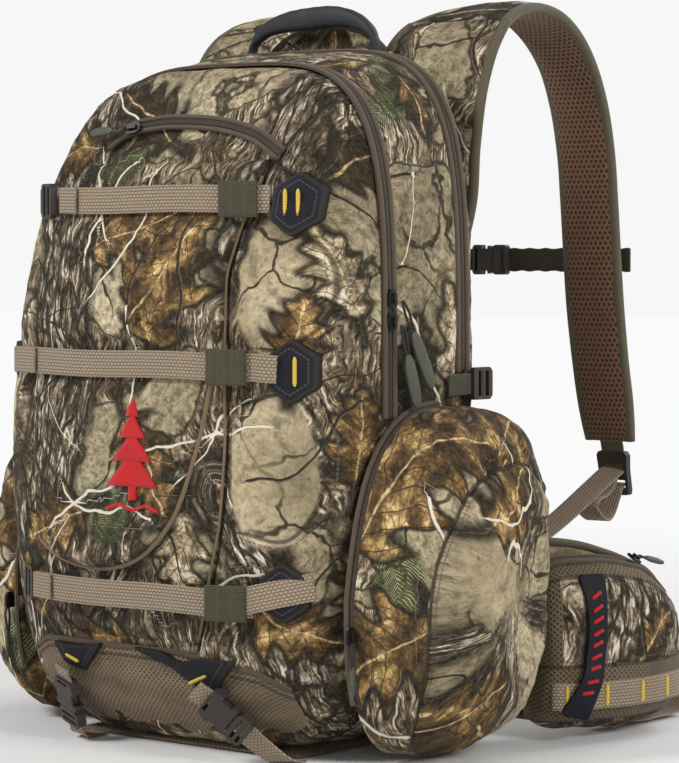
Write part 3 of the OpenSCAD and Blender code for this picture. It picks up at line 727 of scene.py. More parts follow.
def mat_camo():
    g = G("camo_cloth")
    P = g.attr("cP", "Vector")
    L = g.sep(g.attr("cL", "Vector")); M = g.sep(g.attr("cM", "Vector")); T = g.sep(g.attr("cT", "Vector")); N = g.sep(g.attr("cN", "Vector"))
    tw = g.attr("cW")
    # three grounds: smooth olive tan, rough brown-grey bark, leaf litter
    n1 = g.noise(P, 8, 3, 0.55); n2 = g.noise(P, 34, 4, 0.6, 0.6); n3 = g.noise(P, 420, 2, 0.6)
    tan = g.ramp(n1, [(0.32, (0.17, 0.135, 0.078)), (0.5, (0.245, 0.20, 0.122)), (0.68, (0.32, 0.27, 0.175))])
    tan = g.mix(g.m("MULTIPLY", g.step(n2, 0.54, 0.70), 0.6), tan, (0.115, 0.088, 0.05))
    tan = g.mix(g.m("MULTIPLY", g.step(g.noise(P, 230, 3, 0.65), 0.56, 0.70), 0.55), tan, (0.10, 0.078, 0.045))
    Pw = g.vm("ADD", P, g.vm("SCALE", g.noise(P, 24, 3, 0.6, 0.0, True), scale=0.03))
    crack = g.vor(Pw, 17, "DISTANCE_TO_EDGE")
    cm = g.m("MULTIPLY", g.m("SUBTRACT", 1.0, g.step(crack, 0.010, 0.030)), g.step(g.noise(P, 11, 1), 0.42, 0.58))
    tan = g.mix(g.m("MULTIPLY", cm, 0.9), tan, (0.045, 0.032, 0.019))
    # rough ground: long ragged fibres in warped flow, with deep gaps
    Ps = g.sep(Pw)
    flow = g.m("ADD", g.m("MULTIPLY", Ps[0], 1.0), g.m("MULTIPLY", g.noise(P, 7, 2, 0.5), 0.09))
    fib = g.noise(g.comb(g.m("MULTIPLY", flow, 210.0), g.m("MULTIPLY", Ps[1], 34.0), 2.0), 1.0, 6, 0.72, 1.4)
    rough = g.ramp(fib, [(0.32, (0.012, 0.009, 0.006)), (0.41, (0.055, 0.038, 0.023)), (0.48, (0.15, 0.105, 0.062)), (0.55, (0.27, 0.21, 0.14)), (0.66, (0.52, 0.455, 0.36))])
    rough = g.mix(g.m("MULTIPLY", g.step(g.noise(P, 18, 3, 0.6), 0.48, 0.62), 0.75), rough, g.ramp(fib, [(0.34, (0.010, 0.008, 0.006)), (0.5, (0.085, 0.05, 0.024)), (0.66, (0.24, 0.155, 0.075))]))
    keep = g.m("SUBTRACT", 1.0, g.attr("cK"))
    col = g.mix(g.m("MULTIPLY", keep, g.step(g.m("ADD", g.noise(P, 9.0, 2, 0.5, 0.8), g.m("MULTIPLY", g.noise(P, 75, 3, 0.6), 0.09)), 0.535, 0.560)), tan, rough)
    eb = g.noise(P, 9.0, 2, 0.5, 0.8); eb = g.m("ABSOLUTE", g.m("SUBTRACT", g.m("ADD", eb, g.m("MULTIPLY", g.noise(P, 75, 3, 0.6), 0.09)), 0.535))
    col = g.mix(g.m("MULTIPLY", g.m("MULTIPLY", g.m("SUBTRACT", 1.0, g.step(eb, 0.0, 0.018)), 0.8), keep), col, (0.028, 0.020, 0.012))
    # bark
    streak = g.noise(g.comb(g.m("MULTIPLY", T[2], 0.17), g.m("MULTIPLY", T[1], 0.034), 0.0), 1.0, 7, 0.74, 1.6)
    bark = g.ramp(streak, [(0.32, (0.012, 0.009, 0.006)), (0.42, (0.060, 0.043, 0.027)), (0.49, (0.155, 0.115, 0.075)), (0.56, (0.29, 0.235, 0.17)), (0.66, (0.60, 0.55, 0.47))])
    blot = g.noise(P, 26, 5, 0.7, 0.6)
    bark = g.mix(g.m("MULTIPLY", g.step(blot, 0.50, 0.62), 0.72), bark, g.ramp(streak, [(0.38, (0.010, 0.007, 0.005)), (0.52, (0.062, 0.038, 0.02)), (0.68, (0.20, 0.135, 0.075))]))
    plate = g.vor(g.comb(g.m("MULTIPLY", T[2], 0.085), g.m("MULTIPLY", T[1], 0.03), 3.0), 1.0, "DISTANCE_TO_EDGE")
    bark = g.mix(g.m("MULTIPLY", g.m("SUBTRACT", 1.0, g.step(plate, 0.02, 0.12)), 0.8), bark, (0.022, 0.015, 0.009))
    bark = g.mix(g.m("MULTIPLY", g.step(T[0], -11.0, 0.0), 0.6), bark, (0.05, 0.036, 0.022))
    tm = g.m("SUBTRACT", 1.0, g.step(T[0], -0.8, 0.8))
    sh = g.m("MULTIPLY", g.m("SUBTRACT", 1.0, g.step(T[0], 0.0, 9.0)), 0.6)
    col = g.mix(g.m("MULTIPLY", sh, keep), col, (0.05, 0.036, 0.02))
    col = g.mix(g.m("MULTIPLY", tm, keep), col, bark)
    # pine needles
    q = g.m("SUBTRACT", N[1], g.m("MULTIPLY", g.m("ABSOLUTE", N[0]), 1.1))
    q = g.m("ADD", q, g.m("MULTIPLY", g.noise(P, 90, 2, 0.5), 5.0))
    nd = saw(g, q, 2.6)
    green = g.ramp(nd, [(0.25, (0.006, 0.012, 0.003)), (0.55, (0.026, 0.060, 0.010)), (0.9, (0.085, 0.145, 0.035))])
    edge_n = g.m("ADD", N[2], g.m("MULTIPLY", g.m("SUBTRACT", nd, 0.6), 12.0))
    nmask = g.m("SUBTRACT", 1.0, g.step(edge_n, -3.0, -1.0))
    nmask = g.m("MULTIPLY", nmask, g.step(nd, 0.22, 0.42))
    col = g.mix(nmask, col, green)
    # leaves
    mott = g.noise(P, 46, 4, 0.62, 0.5)
    gold = g.ramp(mott, [(0.34, (0.045, 0.022, 0.007)), (0.48, (0.155, 0.082, 0.023)), (0.62, (0.32, 0.20, 0.075)), (0.72, (0.46, 0.33, 0.16))])
    brown = g.ramp(mott, [(0.36, (0.026, 0.014, 0.006)), (0.52, (0.088, 0.048, 0.018)), (0.68, (0.20, 0.12, 0.052))])
    pale = g.ramp(mott, [(0.34, (0.15, 0.11, 0.06)), (0.52, (0.30, 0.245, 0.155)), (0.68, (0.50, 0.44, 0.32))])
    char = g.ramp(mott, [(0.38, (0.018, 0.016, 0.013)), (0.54, (0.06, 0.05, 0.038)), (0.68, (0.14, 0.115, 0.08))])
    lf = g.mix(g.m("GREATER_THAN", M[0], 0.40), gold, brown)
    lf = g.mix(g.m("GREATER_THAN", M[0], 0.56), lf, pale)
    lf = g.mix(g.m("GREATER_THAN", M[0], 0.80), lf, char)
    vein = saw(g, g.m("ADD", g.m("SUBTRACT", L[1], g.m("MULTIPLY", g.m("ABSOLUTE", L[2]), 0.9)), g.m("MULTIPLY", g.noise(P, 40, 1), 5.0)), 13.0)
    vl = g.m("MULTIPLY", g.step(vein, 0.88, 0.97), 0.8)
    lf = g.mix(vl, lf, (0.05, 0.03, 0.014))
    mid = g.m("SUBTRACT", 1.0, g.step(g.m("ABSOLUTE", L[2]), 0.4, 1.2))
    lf = g.mix(g.m("MULTIPLY", mid, 0.75), lf, (0.40, 0.30, 0.16))
    fine = g.vor(Pw, 120, "DISTANCE_TO_EDGE")
    lf = g.mix(g.m("MULTIPLY", g.m("SUBTRACT", 1.0, g.step(fine, 0.02, 0.10)), 0.5), lf, (0.09, 0.055, 0.024))
    lf = g.mix(g.m("MULTIPLY", g.step(L[0], -6.0, -0.2), 0.75), lf, (0.030, 0.018, 0.008))
    lsh = g.m("MULTIPLY", g.m("SUBTRACT", 1.0, g.step(L[0], 0.0, 8.0)), 0.85)
    col = g.mix(lsh, col, (0.018, 0.013, 0.008))
    lm = g.m("SUBTRACT", 1.0, g.step(L[0], -0.6, 0.5))
    col = g.mix(lm, col, lf)
    # twigs
    wd = g.m("DIVIDE", g.m("ABSOLUTE", M[1]), tw)
    tc = g.mix(g.m("GREATER_THAN", M[2], 0.45), (0.038, 0.028, 0.018), (0.52, 0.46, 0.34))
    tc = g.mix(g.step(M[1], 0.0, 1.0), tc, (0.14, 0.11, 0.075))
    col = g.mix(g.m("SUBTRACT", 1.0, g.step(wd, 0.75, 1.15)), col, tc)
    # printed contrast: deep shadows, light bark, and a fine grain of ink
    ink = g.noise(P, 165, 6, 0.78, 0.4)
    inkf = g.m("ADD", 0.50, g.m("MULTIPLY", g.step(ink, 0.36, 0.64), 1.05))
    inkf = g.m("ADD", inkf, g.m("MULTIPLY", g.m("MULTIPLY", g.m("SUBTRACT", 1.0, inkf), g.attr("cK")), 0.55))
    bw = g.nt.nodes.new("ShaderNodeRGBToBW"); g.put(bw.inputs[0], col)
    gain = g.m("POWER", g.m("DIVIDE", g.m("MAXIMUM", bw.outputs[0], 0.003), 0.165), 0.85)
    gain = g.m("MINIMUM", g.m("MULTIPLY", g.m("MULTIPLY", gain, inkf), g.m("ADD", 1.04, g.m("MULTIPLY", g.attr("cK"), 0.30))), 2.5)
    col = g.vm("SCALE", col, scale=gain)
    col = g.vm("MINIMUM", col, (0.72, 0.66, 0.56))
    # brushed knit face
    col = g.mix(0.07, col, g.ramp(n3, [(0.3, (0.02, 0.016, 0.010)), (0.7, (0.55, 0.48, 0.35))]))
    uv = g.uv()
    u = g.sep(uv)
    h = g.m("ADD", g.m("MULTIPLY", g.noise(uv, 1500, 2, 0.6), 0.5), g.m("MULTIPLY", g.m("MULTIPLY", saw(g, u[0], 0.0011), saw(g, u[1], 0.0011)), 0.35))
    col, h2 = seam_lines(g, col, 0.0)
    nb = g.bump(h, 0.35, 0.0004)
    nb = g.bump(h2, 0.9, 0.0011, nb)
    return g.set(color=col, rough=g.m("ADD", 0.80, g.m("MULTIPLY", n3, 0.12)), sheen=0.02, sheen_rough=0.5, spec=0.14, normal=nb)


def mat_webbing(name, ca, cb, pu=0.0017, pv=0.0024, bumpy=0.8, edge_dark=True):
    g = G(name)
    uv = g.uv(); s = g.sep(uv)
    a = saw(g, s[0], pu); b = saw(g, g.m("ADD", s[1], g.m("MULTIPLY", g.m("FLOOR", g.m("DIVIDE", s[0], pu)), pv / 2)), pv)
    w = g.m("MULTIPLY", g.m("SUBTRACT", 1.0, g.m("POWER", a, 2.0)), g.m("SUBTRACT", 1.0, g.m("POWER", b, 3.0)))
    n = g.noise(uv, 60, 3, 0.6); n2 = g.noise(uv, 900, 2, 0.6)
    col = g.mix(w, cb, ca)
    col = g.mix(g.m("MULTIPLY", g.step(n, 0.42, 0.72), 0.35), col, tuple(x * 0.62 for x in ca))
    col = g.mix(g.m("MULTIPLY", n2, 0.30), col, tuple(min(1, x * 1.55) for x in ca))
    h = g.m("ADD", w, g.m("MULTIPLY", n2, 0.4))
    return g.set(color=col, rough=g.m("ADD", 0.68, g.m("MULTIPLY", n2, 0.2)), sheen=0.1, spec=0.3, normal=g.bump(h, bumpy, 0.0006))


def mat_mesh(name, face, hole, pitch=0.0034, size=(0.20, 0.34), rough=0.85):
    """knitted spacer mesh with a hexagonal set of holes"""
    g = G(name)
    uv = g.uv(); s = g.sep(uv)
    def lat(o):
        x = g.m("SUBTRACT", g.m("FRACT", g.m("ADD", g.m("DIVIDE", s[0], pitch), o)), 0.5)
        y = g.m("MULTIPLY", g.m("SUBTRACT", g.m("FRACT", g.m("ADD", g.m("DIVIDE", s[1], pitch * 1.732), o)), 0.5), 1.732)
        return g.m("SQRT", g.m("ADD", g.m("MULTIPLY", x, x), g.m("MULTIPLY", y, y)))
    d = g.m("MINIMUM", lat(0.0), lat(0.5))
    k = g.step(d, size[0], size[1])
    n = g.noise(uv, 700, 2, 0.6); n1 = g.noise(uv, 25, 2, 0.5)
    col = g.mix(k, hole, face)
    col = g.mix(g.m("MULTIPLY", n, 0.28), col, tuple(min(1, x * 1.9) for x in face))
    col = g.mix(g.m("MULTIPLY", g.step(n1, 0.45, 0.75), 0.3), col, tuple(x * 0.5 for x in face))
    return g.set(color=col, rough=rough, sheen=0.15, spec=0.2, normal=g.bump(g.m("ADD", k, g.m("MULTIPLY", n, 0.3)), 0.9, 0.0012))


def mat_coarse(name, ca, cb, pitch=0.0026):
    """coarse two-tone packcloth mesh of the boot panel"""
    g = G(name)
    uv = g.uv(); s = g.sep(uv)
    u = g.m("ADD", s[0], g.m("MULTIPLY", g.noise(uv, 45, 2), 0.0012)); v = g.m("ADD", s[1], g.m("MULTIPLY", g.noise(uv, 38, 2), 0.0012))
    a = saw(g, g.m("ADD", u, v), pitch); b = saw(g, g.m("SUBTRACT", u, v), pitch)
    k = g.m("MAXIMUM", g.step(a, 0.42, 0.72), g.step(b, 0.42, 0.72))
    n = g.noise(uv, 500, 2, 0.65); n1 = g.noise(uv, 22, 3, 0.6)
    col = g.mix(k, cb, ca)
    col = g.mix(g.m("MULTIPLY", n, 0.30), col, tuple(min(1, x * 2.0) for x in ca))
    col = g.mix(g.m("MULTIPLY", g.step(n1, 0.42, 0.70), 0.45), col, tuple(x * 0.42 for x in ca))
    col, h2 = seam_lines(g, col, 0.0)
    nb = g.bump(g.m("ADD", k, g.m("MULTIPLY", n, 0.4)), 0.9, 0.0009)
    return g.set(color=col, rough=0.82, sheen=0.1, spec=0.25, normal=g.bump(h2, 0.8, 0.001, nb))


def mat_plastic(name, c, rough=0.42, grain=2600, wear=0.5, coat=0.0):
    g = G(name)
    o = g.obj()
    n = g.noise(o, grain, 2, 0.5); n1 = g.noise(o, 90, 4, 0.65); sc = g.noise(g.vm("MULTIPLY", o, (1.0, 1.0, 6.0)), 420, 3, 0.7, 1.5)
    col = g.mix(g.m("MULTIPLY", g.step(n1, 0.40, 0.72), 0.45), c, tuple(x * 0.62 for x in c))
    col = g.mix(g.m("MULTIPLY", g.step(sc, 0.62, 0.72), wear * 0.5), col, tuple(min(1, x * 2.4 + 0.02) for x in c))
    return g.set(color=col, rough=g.m("ADD", rough, g.m("MULTIPLY", n1, 0.16)), spec=0.45, coat=coat, normal=g.bump(g.m("ADD", n, g.m("MULTIPLY", sc, 0.4)), 0.25, 0.0003))


def mat_rubber(name, c, rough=0.55):
    """moulded rubber with an even pebble and a stitched line where the seam attribute says"""
    g = G(name)
    o = g.obj()
    pe = g.vor(o, 1500, "SMOOTH_F1"); n1 = g.noise(o, 70, 3, 0.6)
    col = g.mix(g.m("MULTIPLY", g.step(n1, 0.4, 0.75), 0.4), c, tuple(x * 1.7 + 0.004 for x in c))
    col = g.mix(g.m("MULTIPLY", pe, 0.4), col, tuple(x * 0.55 for x in c))
    col, h2 = seam_lines(g, col, 0.0)
    nb = g.bump(pe, 0.4, 0.0004)
    return g.set(color=col, rough=g.m("ADD", rough, g.m("MULTIPLY", n1, 0.15)), spec=0.28, normal=g.bump(h2, 0.5, 0.0006, nb))


def mat_zip(name, ca, cb, teeth=0.0013):
    g = G(name)
    uv = g.uv(); s = g.sep(uv)
    t = saw(g, s[1], teeth); n = g.noise(uv, 800, 2, 0.6); n1 = g.noise(uv, 30, 2, 0.5)
    col = g.mix(t, ca, cb)
    col = g.mix(g.m("MULTIPLY", n, 0.25), col, tuple(min(1, x * 2) for x in ca))
    col = g.mix(g.m("MULTIPLY", g.step(n1, 0.45, 0.7), 0.3), col, tuple(x * 0.5 for x in ca))
    return g.set(color=col, rough=0.6, spec=0.35, normal=g.bump(g.m("ADD", t, g.m("MULTIPLY", n, 0.4)), 0.8, 0.0006))


def mat_fabric(name, ca, cb, pitch=0.0009, rough=0.85, bumpy=0.5, seams=False):
    """plain woven or knitted cloth"""
    g = G(name)
    uv = g.uv(); s = g.sep(uv)
    a = saw(g, s[0], pitch); b = saw(g, s[1], pitch)
    n = g.noise(uv, 900, 2, 0.6); n1 = g.noise(uv, 28, 3, 0.6)
    w = g.m("MULTIPLY", a, b)
    col = g.mix(w, ca, cb)
    col = g.mix(g.m("MULTIPLY", g.step(n1, 0.4, 0.7), 0.35), col, tuple(x * 0.6 for x in ca))
    col = g.mix(g.m("MULTIPLY", n, 0.28), col, tuple(min(1, x * 1.8) for x in ca))
    h = g.m("ADD", w, g.m("MULTIPLY", n, 0.5)); nb = g.bump(h, bumpy, 0.0004)
    if seams:
        col, h2 = seam_lines(g, col, 0.0); nb = g.bump(h2, 0.8, 0.001, nb)
    return g.set(color=col, rough=rough, sheen=0.15, spec=0.25, normal=nb)


def mat_metal(name, c, rough=0.38):
    g = G(name)
    o = g.obj()
    n = g.noise(g.vm("MULTIPLY", o, (1, 1, 0.05)), 900, 3, 0.6); n1 = g.noise(o, 120, 3, 0.6)
    col = g.mix(g.m("MULTIPLY", n1, 0.5), c, tuple(x * 0.6 for x in c))
    return g.set(color=col, metal=1.0, rough=g.m("ADD", rough, g.m("MULTIPLY", n, 0.2)), normal=g.bump(n, 0.2, 0.0003))


camo = mat_camo()
taupe_web = mat_webbing("taupe_web", (0.37, 0.285, 0.198), (0.036, 0.027, 0.018), 0.0024, 0.0034)
olive_web = mat_webbing("olive_web", (0.072, 0.064, 0.036), (0.028, 0.025, 0.014))
olive_bind = mat_webbing("olive_binding", (0.118, 0.104, 0.062), (0.055, 0.048, 0.028), 0.0009, 0.0012, 0.5)
brown_bind = mat_webbing("brown_binding", (0.095, 0.07, 0.046), (0.042, 0.031, 0.02), 0.0009, 0.0012, 0.5)
sternum_web = mat_webbing("sternum_elastic", (0.055, 0.042, 0.026), (0.02, 0.015, 0.009), 0.0012, 0.0022)
spacer = mat_mesh("brown_spacer_mesh", (0.185, 0.098, 0.056), (0.005, 0.003, 0.002), 0.0048, (0.30, 0.38))
back_mesh = mat_mesh("back_mesh", (0.085, 0.066, 0.04), (0.01, 0.008, 0.005), 0.003)
boot_mesh = mat_coarse("boot_mesh_cloth", (0.20, 0.145, 0.085), (0.006, 0.004, 0.003), 0.0044)
side_mesh = mat_coarse("side_mesh_cloth", (0.15, 0.11, 0.066), (0.010, 0.007, 0.005), 0.0040)
buckle = mat_plastic("dark_brown_plastic", (0.036, 0.028, 0.023))
frame_pl = mat_plastic("frame_polymer", (0.012, 0.012, 0.013), 0.5)
rubber = mat_rubber("navy_rubber", (0.006, 0.007, 0.012), 0.6)
handle_rub = mat_rubber("handle_rubber", (0.028, 0.030, 0.034), 0.5)
puller_rub = mat_plastic("puller_rubber", (0.075, 0.078, 0.052), 0.5, 1800, 0.3)
cord_dark = mat_fabric("pull_cord", (0.03, 0.027, 0.022), (0.012, 0.011, 0.009), 0.0006)
slider_mat = mat_metal("slider_black_metal", (0.065, 0.062, 0.06), 0.36)
zip_tape = mat_fabric("zip_tape_cloth", (0.092, 0.066, 0.045), (0.035, 0.025, 0.017), 0.0010)
zip_coil = mat_zip("zip_coil", (0.068, 0.050, 0.035), (0.018, 0.013, 0.010))
zip_lip = mat_fabric("zip_welt", (0.098, 0.070, 0.048), (0.038, 0.027, 0.018), 0.0010)
lining = mat_fabric("dark_lining", (0.03, 0.026, 0.02), (0.014, 0.012, 0.010))
pad_cloth = mat_fabric("pad_tan_cloth", (0.42, 0.27, 0.115), (0.25, 0.155, 0.062), 0.0014, 0.8, 0.6, True)
piping = mat_fabric("rolled_piping", (0.20, 0.135, 0.078), (0.11, 0.074, 0.043), 0.0009)
yellow = mat_fabric("yellow_thread", (0.70, 0.46, 0.06), (0.42, 0.26, 0.03), 0.0006)
red = mat_fabric("red_thread", (0.52, 0.012, 0.016), (0.30, 0.006, 0.010), 0.0007)
alu = mat_metal("stay_aluminium", (0.75, 0.76, 0.78), 0.30)


# ------------------------------------------------------------------ camera, light and floor
cam_d = bpy.data.cameras.new("camera"); cam = bpy.data.objects.new("camera", cam_d); scene.collection.objects.link(cam)
eye = Vector(W((1536.08, -1710.23, 371.34))); aim = Vector(W((0, 120.4, 267)))
cam.location = eye
cam.rotation_mode = "QUATERNION"
cam.rotation_quaternion = (aim - eye).to_track_quat("-Z", "Y")
cam_d.lens = 142.4; cam_d.sensor_width = 36; cam_d.sensor_fit = "AUTO"; cam_d.clip_start = 0.05; cam_d.clip_end = 60
scene.camera = cam
scene.view_settings.view_transform = "Standard"
scene.view_settings.look = "None"
scene.view_settings.exposure = 0.0


def area(name, loc, target, size, power, color=(1, 1, 1)):
    d = bpy.data.lights.new(name, "AREA"); d.energy = power; d.size = size; d.color = color
    o = bpy.data.objects.new(name, d); scene.collection.objects.link(o)
    o.location = loc; o.rotation_mode = "QUATERNION"
    o.rotation_quaternion = (Vector(target) - Vector(loc)).to_track_quat("-Z", "Y")


area("key", (-0.9, -2.2, 2.1), (0, 0, 0.28), 0.9, 58)
area("side", (2.7, -0.3, 1.5), (0, 0, 0.25), 1.1, 42)
area("rim", (0.4, 2.4, 1.9), (0, 0, 0.3), 1.6, 40)
area("low", (1.4, -2.0, 0.5), (0, 0, 0.25), 1.2, 5)
world = bpy.data.worlds.new("studio"); scene.world = world; world.use_nodes = True
world.node_tree.nodes["Background"].inputs[0].default_value = (1.0, 1.0, 1.0, 1)
world.node_tree.nodes["Background"].inputs[1].default_value = 0.26
wn = world.node_tree; wb = wn.nodes.new("ShaderNodeBackground"); wb.inputs[0].default_value = (1, 1, 1, 1); wb.inputs[1].default_value = 0.93
wl = wn.nodes.new("ShaderNodeLightPath"); wm = wn.nodes.new("ShaderNodeMixShader")
wn.links.new(wl.outputs["Is Camera Ray"], wm.inputs[0]); wn.links.new(wn.nodes["Background"].outputs[0], wm.inputs[1])
wn.links.new(wb.outputs[0], wm.inputs[2]); wn.links.new(wm.outputs[0], wn.nodes["World Output"].inputs[0])
me = bpy.data.meshes.new("floor")
me.from_pydata([(-12, -12, 0), (12, -12, 0), (12, 12, 0), (-12, 12, 0)], [], [(0, 1, 2, 3)])
floor = bpy.data.objects.new("floor", me); scene.collection.objects.link(floor)
gf = G("pale_floor")
nfl = gf.noise(gf.obj(), 3.0, 2)
gp = gf.vm("LENGTH", gf.vm("MULTIPLY", gf.obj(), (1.0, 1.0, 0.0))); gk = gf.step(gp, 0.55, 1.9)
gf.set(color=gf.mix(gk, gf.mix(gf.m("MULTIPLY", nfl, 0.08), (0.86, 0.86, 0.855), (0.80, 0.80, 0.795)), (0.02, 0.02, 0.02)), rough=0.7, spec=0.1)
gf.b.inputs["Emission Color"].default_value = (1, 1, 1, 1)
gf.put(gf.b.inputs["Emission Strength"], gf.m("MULTIPLY", gk, 0.93))
me.materials.append(gf.mat)


# ------------------------------------------------------------------ generic sheet with a closed back
def sheet_data(P, inner, uv=None):
    n, m, _ = P.shape
    ids, c = grid_faces(n, m)
    if uv is None:
        U = np.r_[0, np.cumsum(np.linalg.norm(np.diff(P[n // 2], axis=0), axis=1))][None, :].repeat(n, 0)
        Vv = np.r_[0, np.cumsum(np.linalg.norm(np.diff(P[:, m // 2], axis=0), axis=1))][:, None].repeat(m, 1)
        uv = np.stack([U, Vv], -1)
    fuv = uv[c[..., 0], c[..., 1]]
    V = np.vstack([P.reshape(-1, 3), inner]); uvv = np.vstack([uv.reshape(-1, 2), uv.reshape(-1, 2).mean(0)])
    q = len(V) - 1
    per = [j for j in range(m)] + [i * m + m - 1 for i in range(1, n)] + [(n - 1) * m + j for j in range(m - 2, -1, -1)] + [i * m for i in range(n - 2, 0, -1)]
    per = np.array(per); nxt = np.roll(per, -1)
    tri = np.stack([nxt, per, np.full(len(per), q)], 1)
    return V, [ids, tri], [fuv, uvv[tri]], uvv


def gnorm(P, outward, cv=False):
    """normals of a grid, flipped to point along outward"""
    if cv:
        Q = np.concatenate([P[:, -2:], P, P[:, :2]], 1); N = normals(Q)[:, 2:-2]
    else:
        N = normals(P)
    s = np.sign((N * outward).sum(-1).mean())
    return N * (s if s != 0 else 1)


def ring_angles(fn, m, start=0.0):
    t = np.linspace(start, start + 360, 3001); e = fn(t)
    L = np.r_[0, np.cumsum(np.linalg.norm(np.diff(e, axis=0), axis=1))]
    return np.interp(np.arange(m) / m * L[-1], L, t)


# ------------------------------------------------------------------ front of the bag
S_PANEL = [(110, 446), (107, 441), (92, 394), (82, 356), (83, 325), (85, 234), (81, 173), (66, 113), (54, 82)]
S_L1 = [(112, 400), (117, 390), (146, 373), (153, 342), (145, 313), (125, 299), (112, 300)]
S_L2 = [(100, 262), (133, 268), (150, 239), (151, 221), (143, 178), (131, 164), (100, 168)]
S_U1 = [(131, 478), (117, 453), (108, 439)]
S_U2 = [(146, 462), (142, 456), (139, 432), (128, 422), (112, 428)]
S_LOBE = [(80, 300), (76, 271), (63, 220), (41, 171), (9, 145), (-31, 136), (-72, 142), (-108, 158)]


def rounded(pts, n=60):
    return cr(np.array(pts, float), n)


seams_front = [rounded(s) for s in (S_PANEL, S_L1, S_L2, S_U1, S_U2)]
lobe_line = rounded(S_LOBE, 80)


def near_seam(x, z, lines):
    Q = np.stack([np.ravel(x), np.ravel(z)], 1)
    D = np.full(len(Q), 1e3); A = np.zeros(len(Q))
    for ln in lines:
        d, a = seg_dist(Q, ln)
        m = np.abs(d) < np.abs(D)
        D[m] = d[m]; A[m] = a[m]
    return D.reshape(np.shape(x)), A.reshape(np.shape(x))


def strap_press(x, z, pad=15.0):
    """1 under the compression straps, 0 away from them"""
    w = np.zeros(np.shape(x))
    for zz, xa, xb in comp:
        w = np.maximum(w, (1 - sm(np.abs(z - zz), pad - 5, pad + 12)) * sm(x, xa - 30, xa - 8) * (1 - sm(x, xb + 8, xb + 30)))
    return w


def hex_press(x, z):
    w = np.zeros(np.shape(x))
    for c in ((137, 404), (140, 286), (134, 128)):
        w = np.maximum(w, 1 - sm(np.hypot((x - c[0]) / 0.85, z - c[1]), 22, 40))
    return w


# shell
MA, NR = 430, 118
ta = ring_angles(lambda t: edge(t, half_w, arch_front - 1, hb, slump), MA, -90)
E = edge(ta, half_w, arch_front - 1, hb, slump)
q = 1 - (1 - np.linspace(0, 1, 6000)) ** 3
prof = np.stack([150 * q, 90 * np.clip(1 - q ** 3.6, 0, 1) ** (1 / 3)], 1)
Lq = np.r_[0, np.cumsum(np.linalg.norm(np.diff(prof, axis=0), axis=1))]
rs = np.interp(np.linspace(0.012, 1, NR) * Lq[-1], Lq, q)
X = E[None, :, 0] * rs[:, None]; Z = zc + (E[None, :, 1] - zc) * rs[:, None]
P = np.stack([X, yf(X, Z), Z], -1)
N = gnorm(P, np.array([0, -1, 0]), True)
seamD, seamA = near_seam(X, Z, seams_front)
ctr = np.array([0, yf(0.0, zc), zc])
dist = np.concatenate([np.linalg.norm(P[:1] - ctr, axis=2), np.linalg.norm(np.diff(P, axis=0), axis=2)]).cumsum(0)
dirs = unit(np.stack([E[:, 0], E[:, 1] - zc], 1))
uvF = dirs[None] * dist[..., None]
tz = np.array([[-58, 450], [-45, 458], [-10, 465], [20, 465], [60, 461], [92, 452], [112, 440]], float)
press = np.maximum(strap_press(X, Z), hex_press(X, Z))
press = np.maximum(press, (1 - sm(np.abs(seg_dist(np.stack([X.ravel(), Z.ravel()], 1), cr(tz, 60))[0]), 8, 22)).reshape(X.shape))
free = 1 - press
disp = 1.6 * wrinkle(P, 46, 3, (1, 1, 1.5)) * free + 0.7 * wrinkle(P, 17, 8) * (0.4 + 0.6 * free)
disp += 2.6 * (1 - np.exp(-(seamD / 13) ** 2)) * free * (np.abs(seamD) < 900) - 2.2 * np.exp(-(seamD / 2.6) ** 2)
disp += 8.0 * np.exp(-((X + 150) / 42) ** 2 - ((Z - 225) / 95) ** 2)
disp += 3.5 * np.exp(-((Z - 350) / 34) ** 2) * sm(np.abs(X), 90, 130) * free * (X > 0)
disp *= 1 - 0.85 * sm(rs, 0.985, 1.0)[:, None]
P = P + N * disp[..., None]
P[..., 2] = np.maximum(P[..., 2], 2.0 + 0 * P[..., 2])
V, F, U, uvv = loft_data(P, True, ends=[ctr, np.array([0, y0 + 12, zc])])
uv_all = np.vstack([uvF.reshape(-1, 2), [0, 0], [0, 0]])
# real flat coordinates on the loops
flat = uv_all
Fu = [flat[f] for f in F]
A = camo_attrs(cut(uv_all, 0, (4000, 0)))
A["seam"] = np.vstack([np.c_[seamD.ravel(), seamA.ravel(), (np.abs(seamD.ravel()) < 12) * 1.0], [[99, 0, 0], [99, 0, 0]]])
ob = build("front_panel", V, F, camo, Fu, A)
finish_piece(ob, "pack", ("front_compartment",))

# raised pocket: an upper lobe with a rolled edge over a lower field
def pocket_top(x, z):
    """offset of the raised pocket's face over the bag"""
    a = np.interp(z, fp_l[:, 0], fp_l[:, 1]); b = np.interp(z, fp_r[:, 0], fp_r[:, 1])
    e = np.minimum(np.minimum(x - a, b - x), np.minimum(z - 84, 436 - z) * 0.8)
    s = np.sqrt(np.clip(1 - (1 - np.clip(e / 11, 0, 1)) ** 2, 0, 1))
    d, _ = seg_dist(np.stack([np.ravel(x), np.ravel(z)], 1), lobe_line)
    d = -d.reshape(np.shape(x))      # positive inside the lobe
    lobe = sm(d, -2.5, 4.0)
    pr = strap_press(x, z)
    puff = (1 - pr) * (5.0 * sm(e, 8, 42) + 1.2)
    return 0.9 + s * (6.0 + 4.4 * lobe + puff * (0.35 + 0.65 * lobe)), d


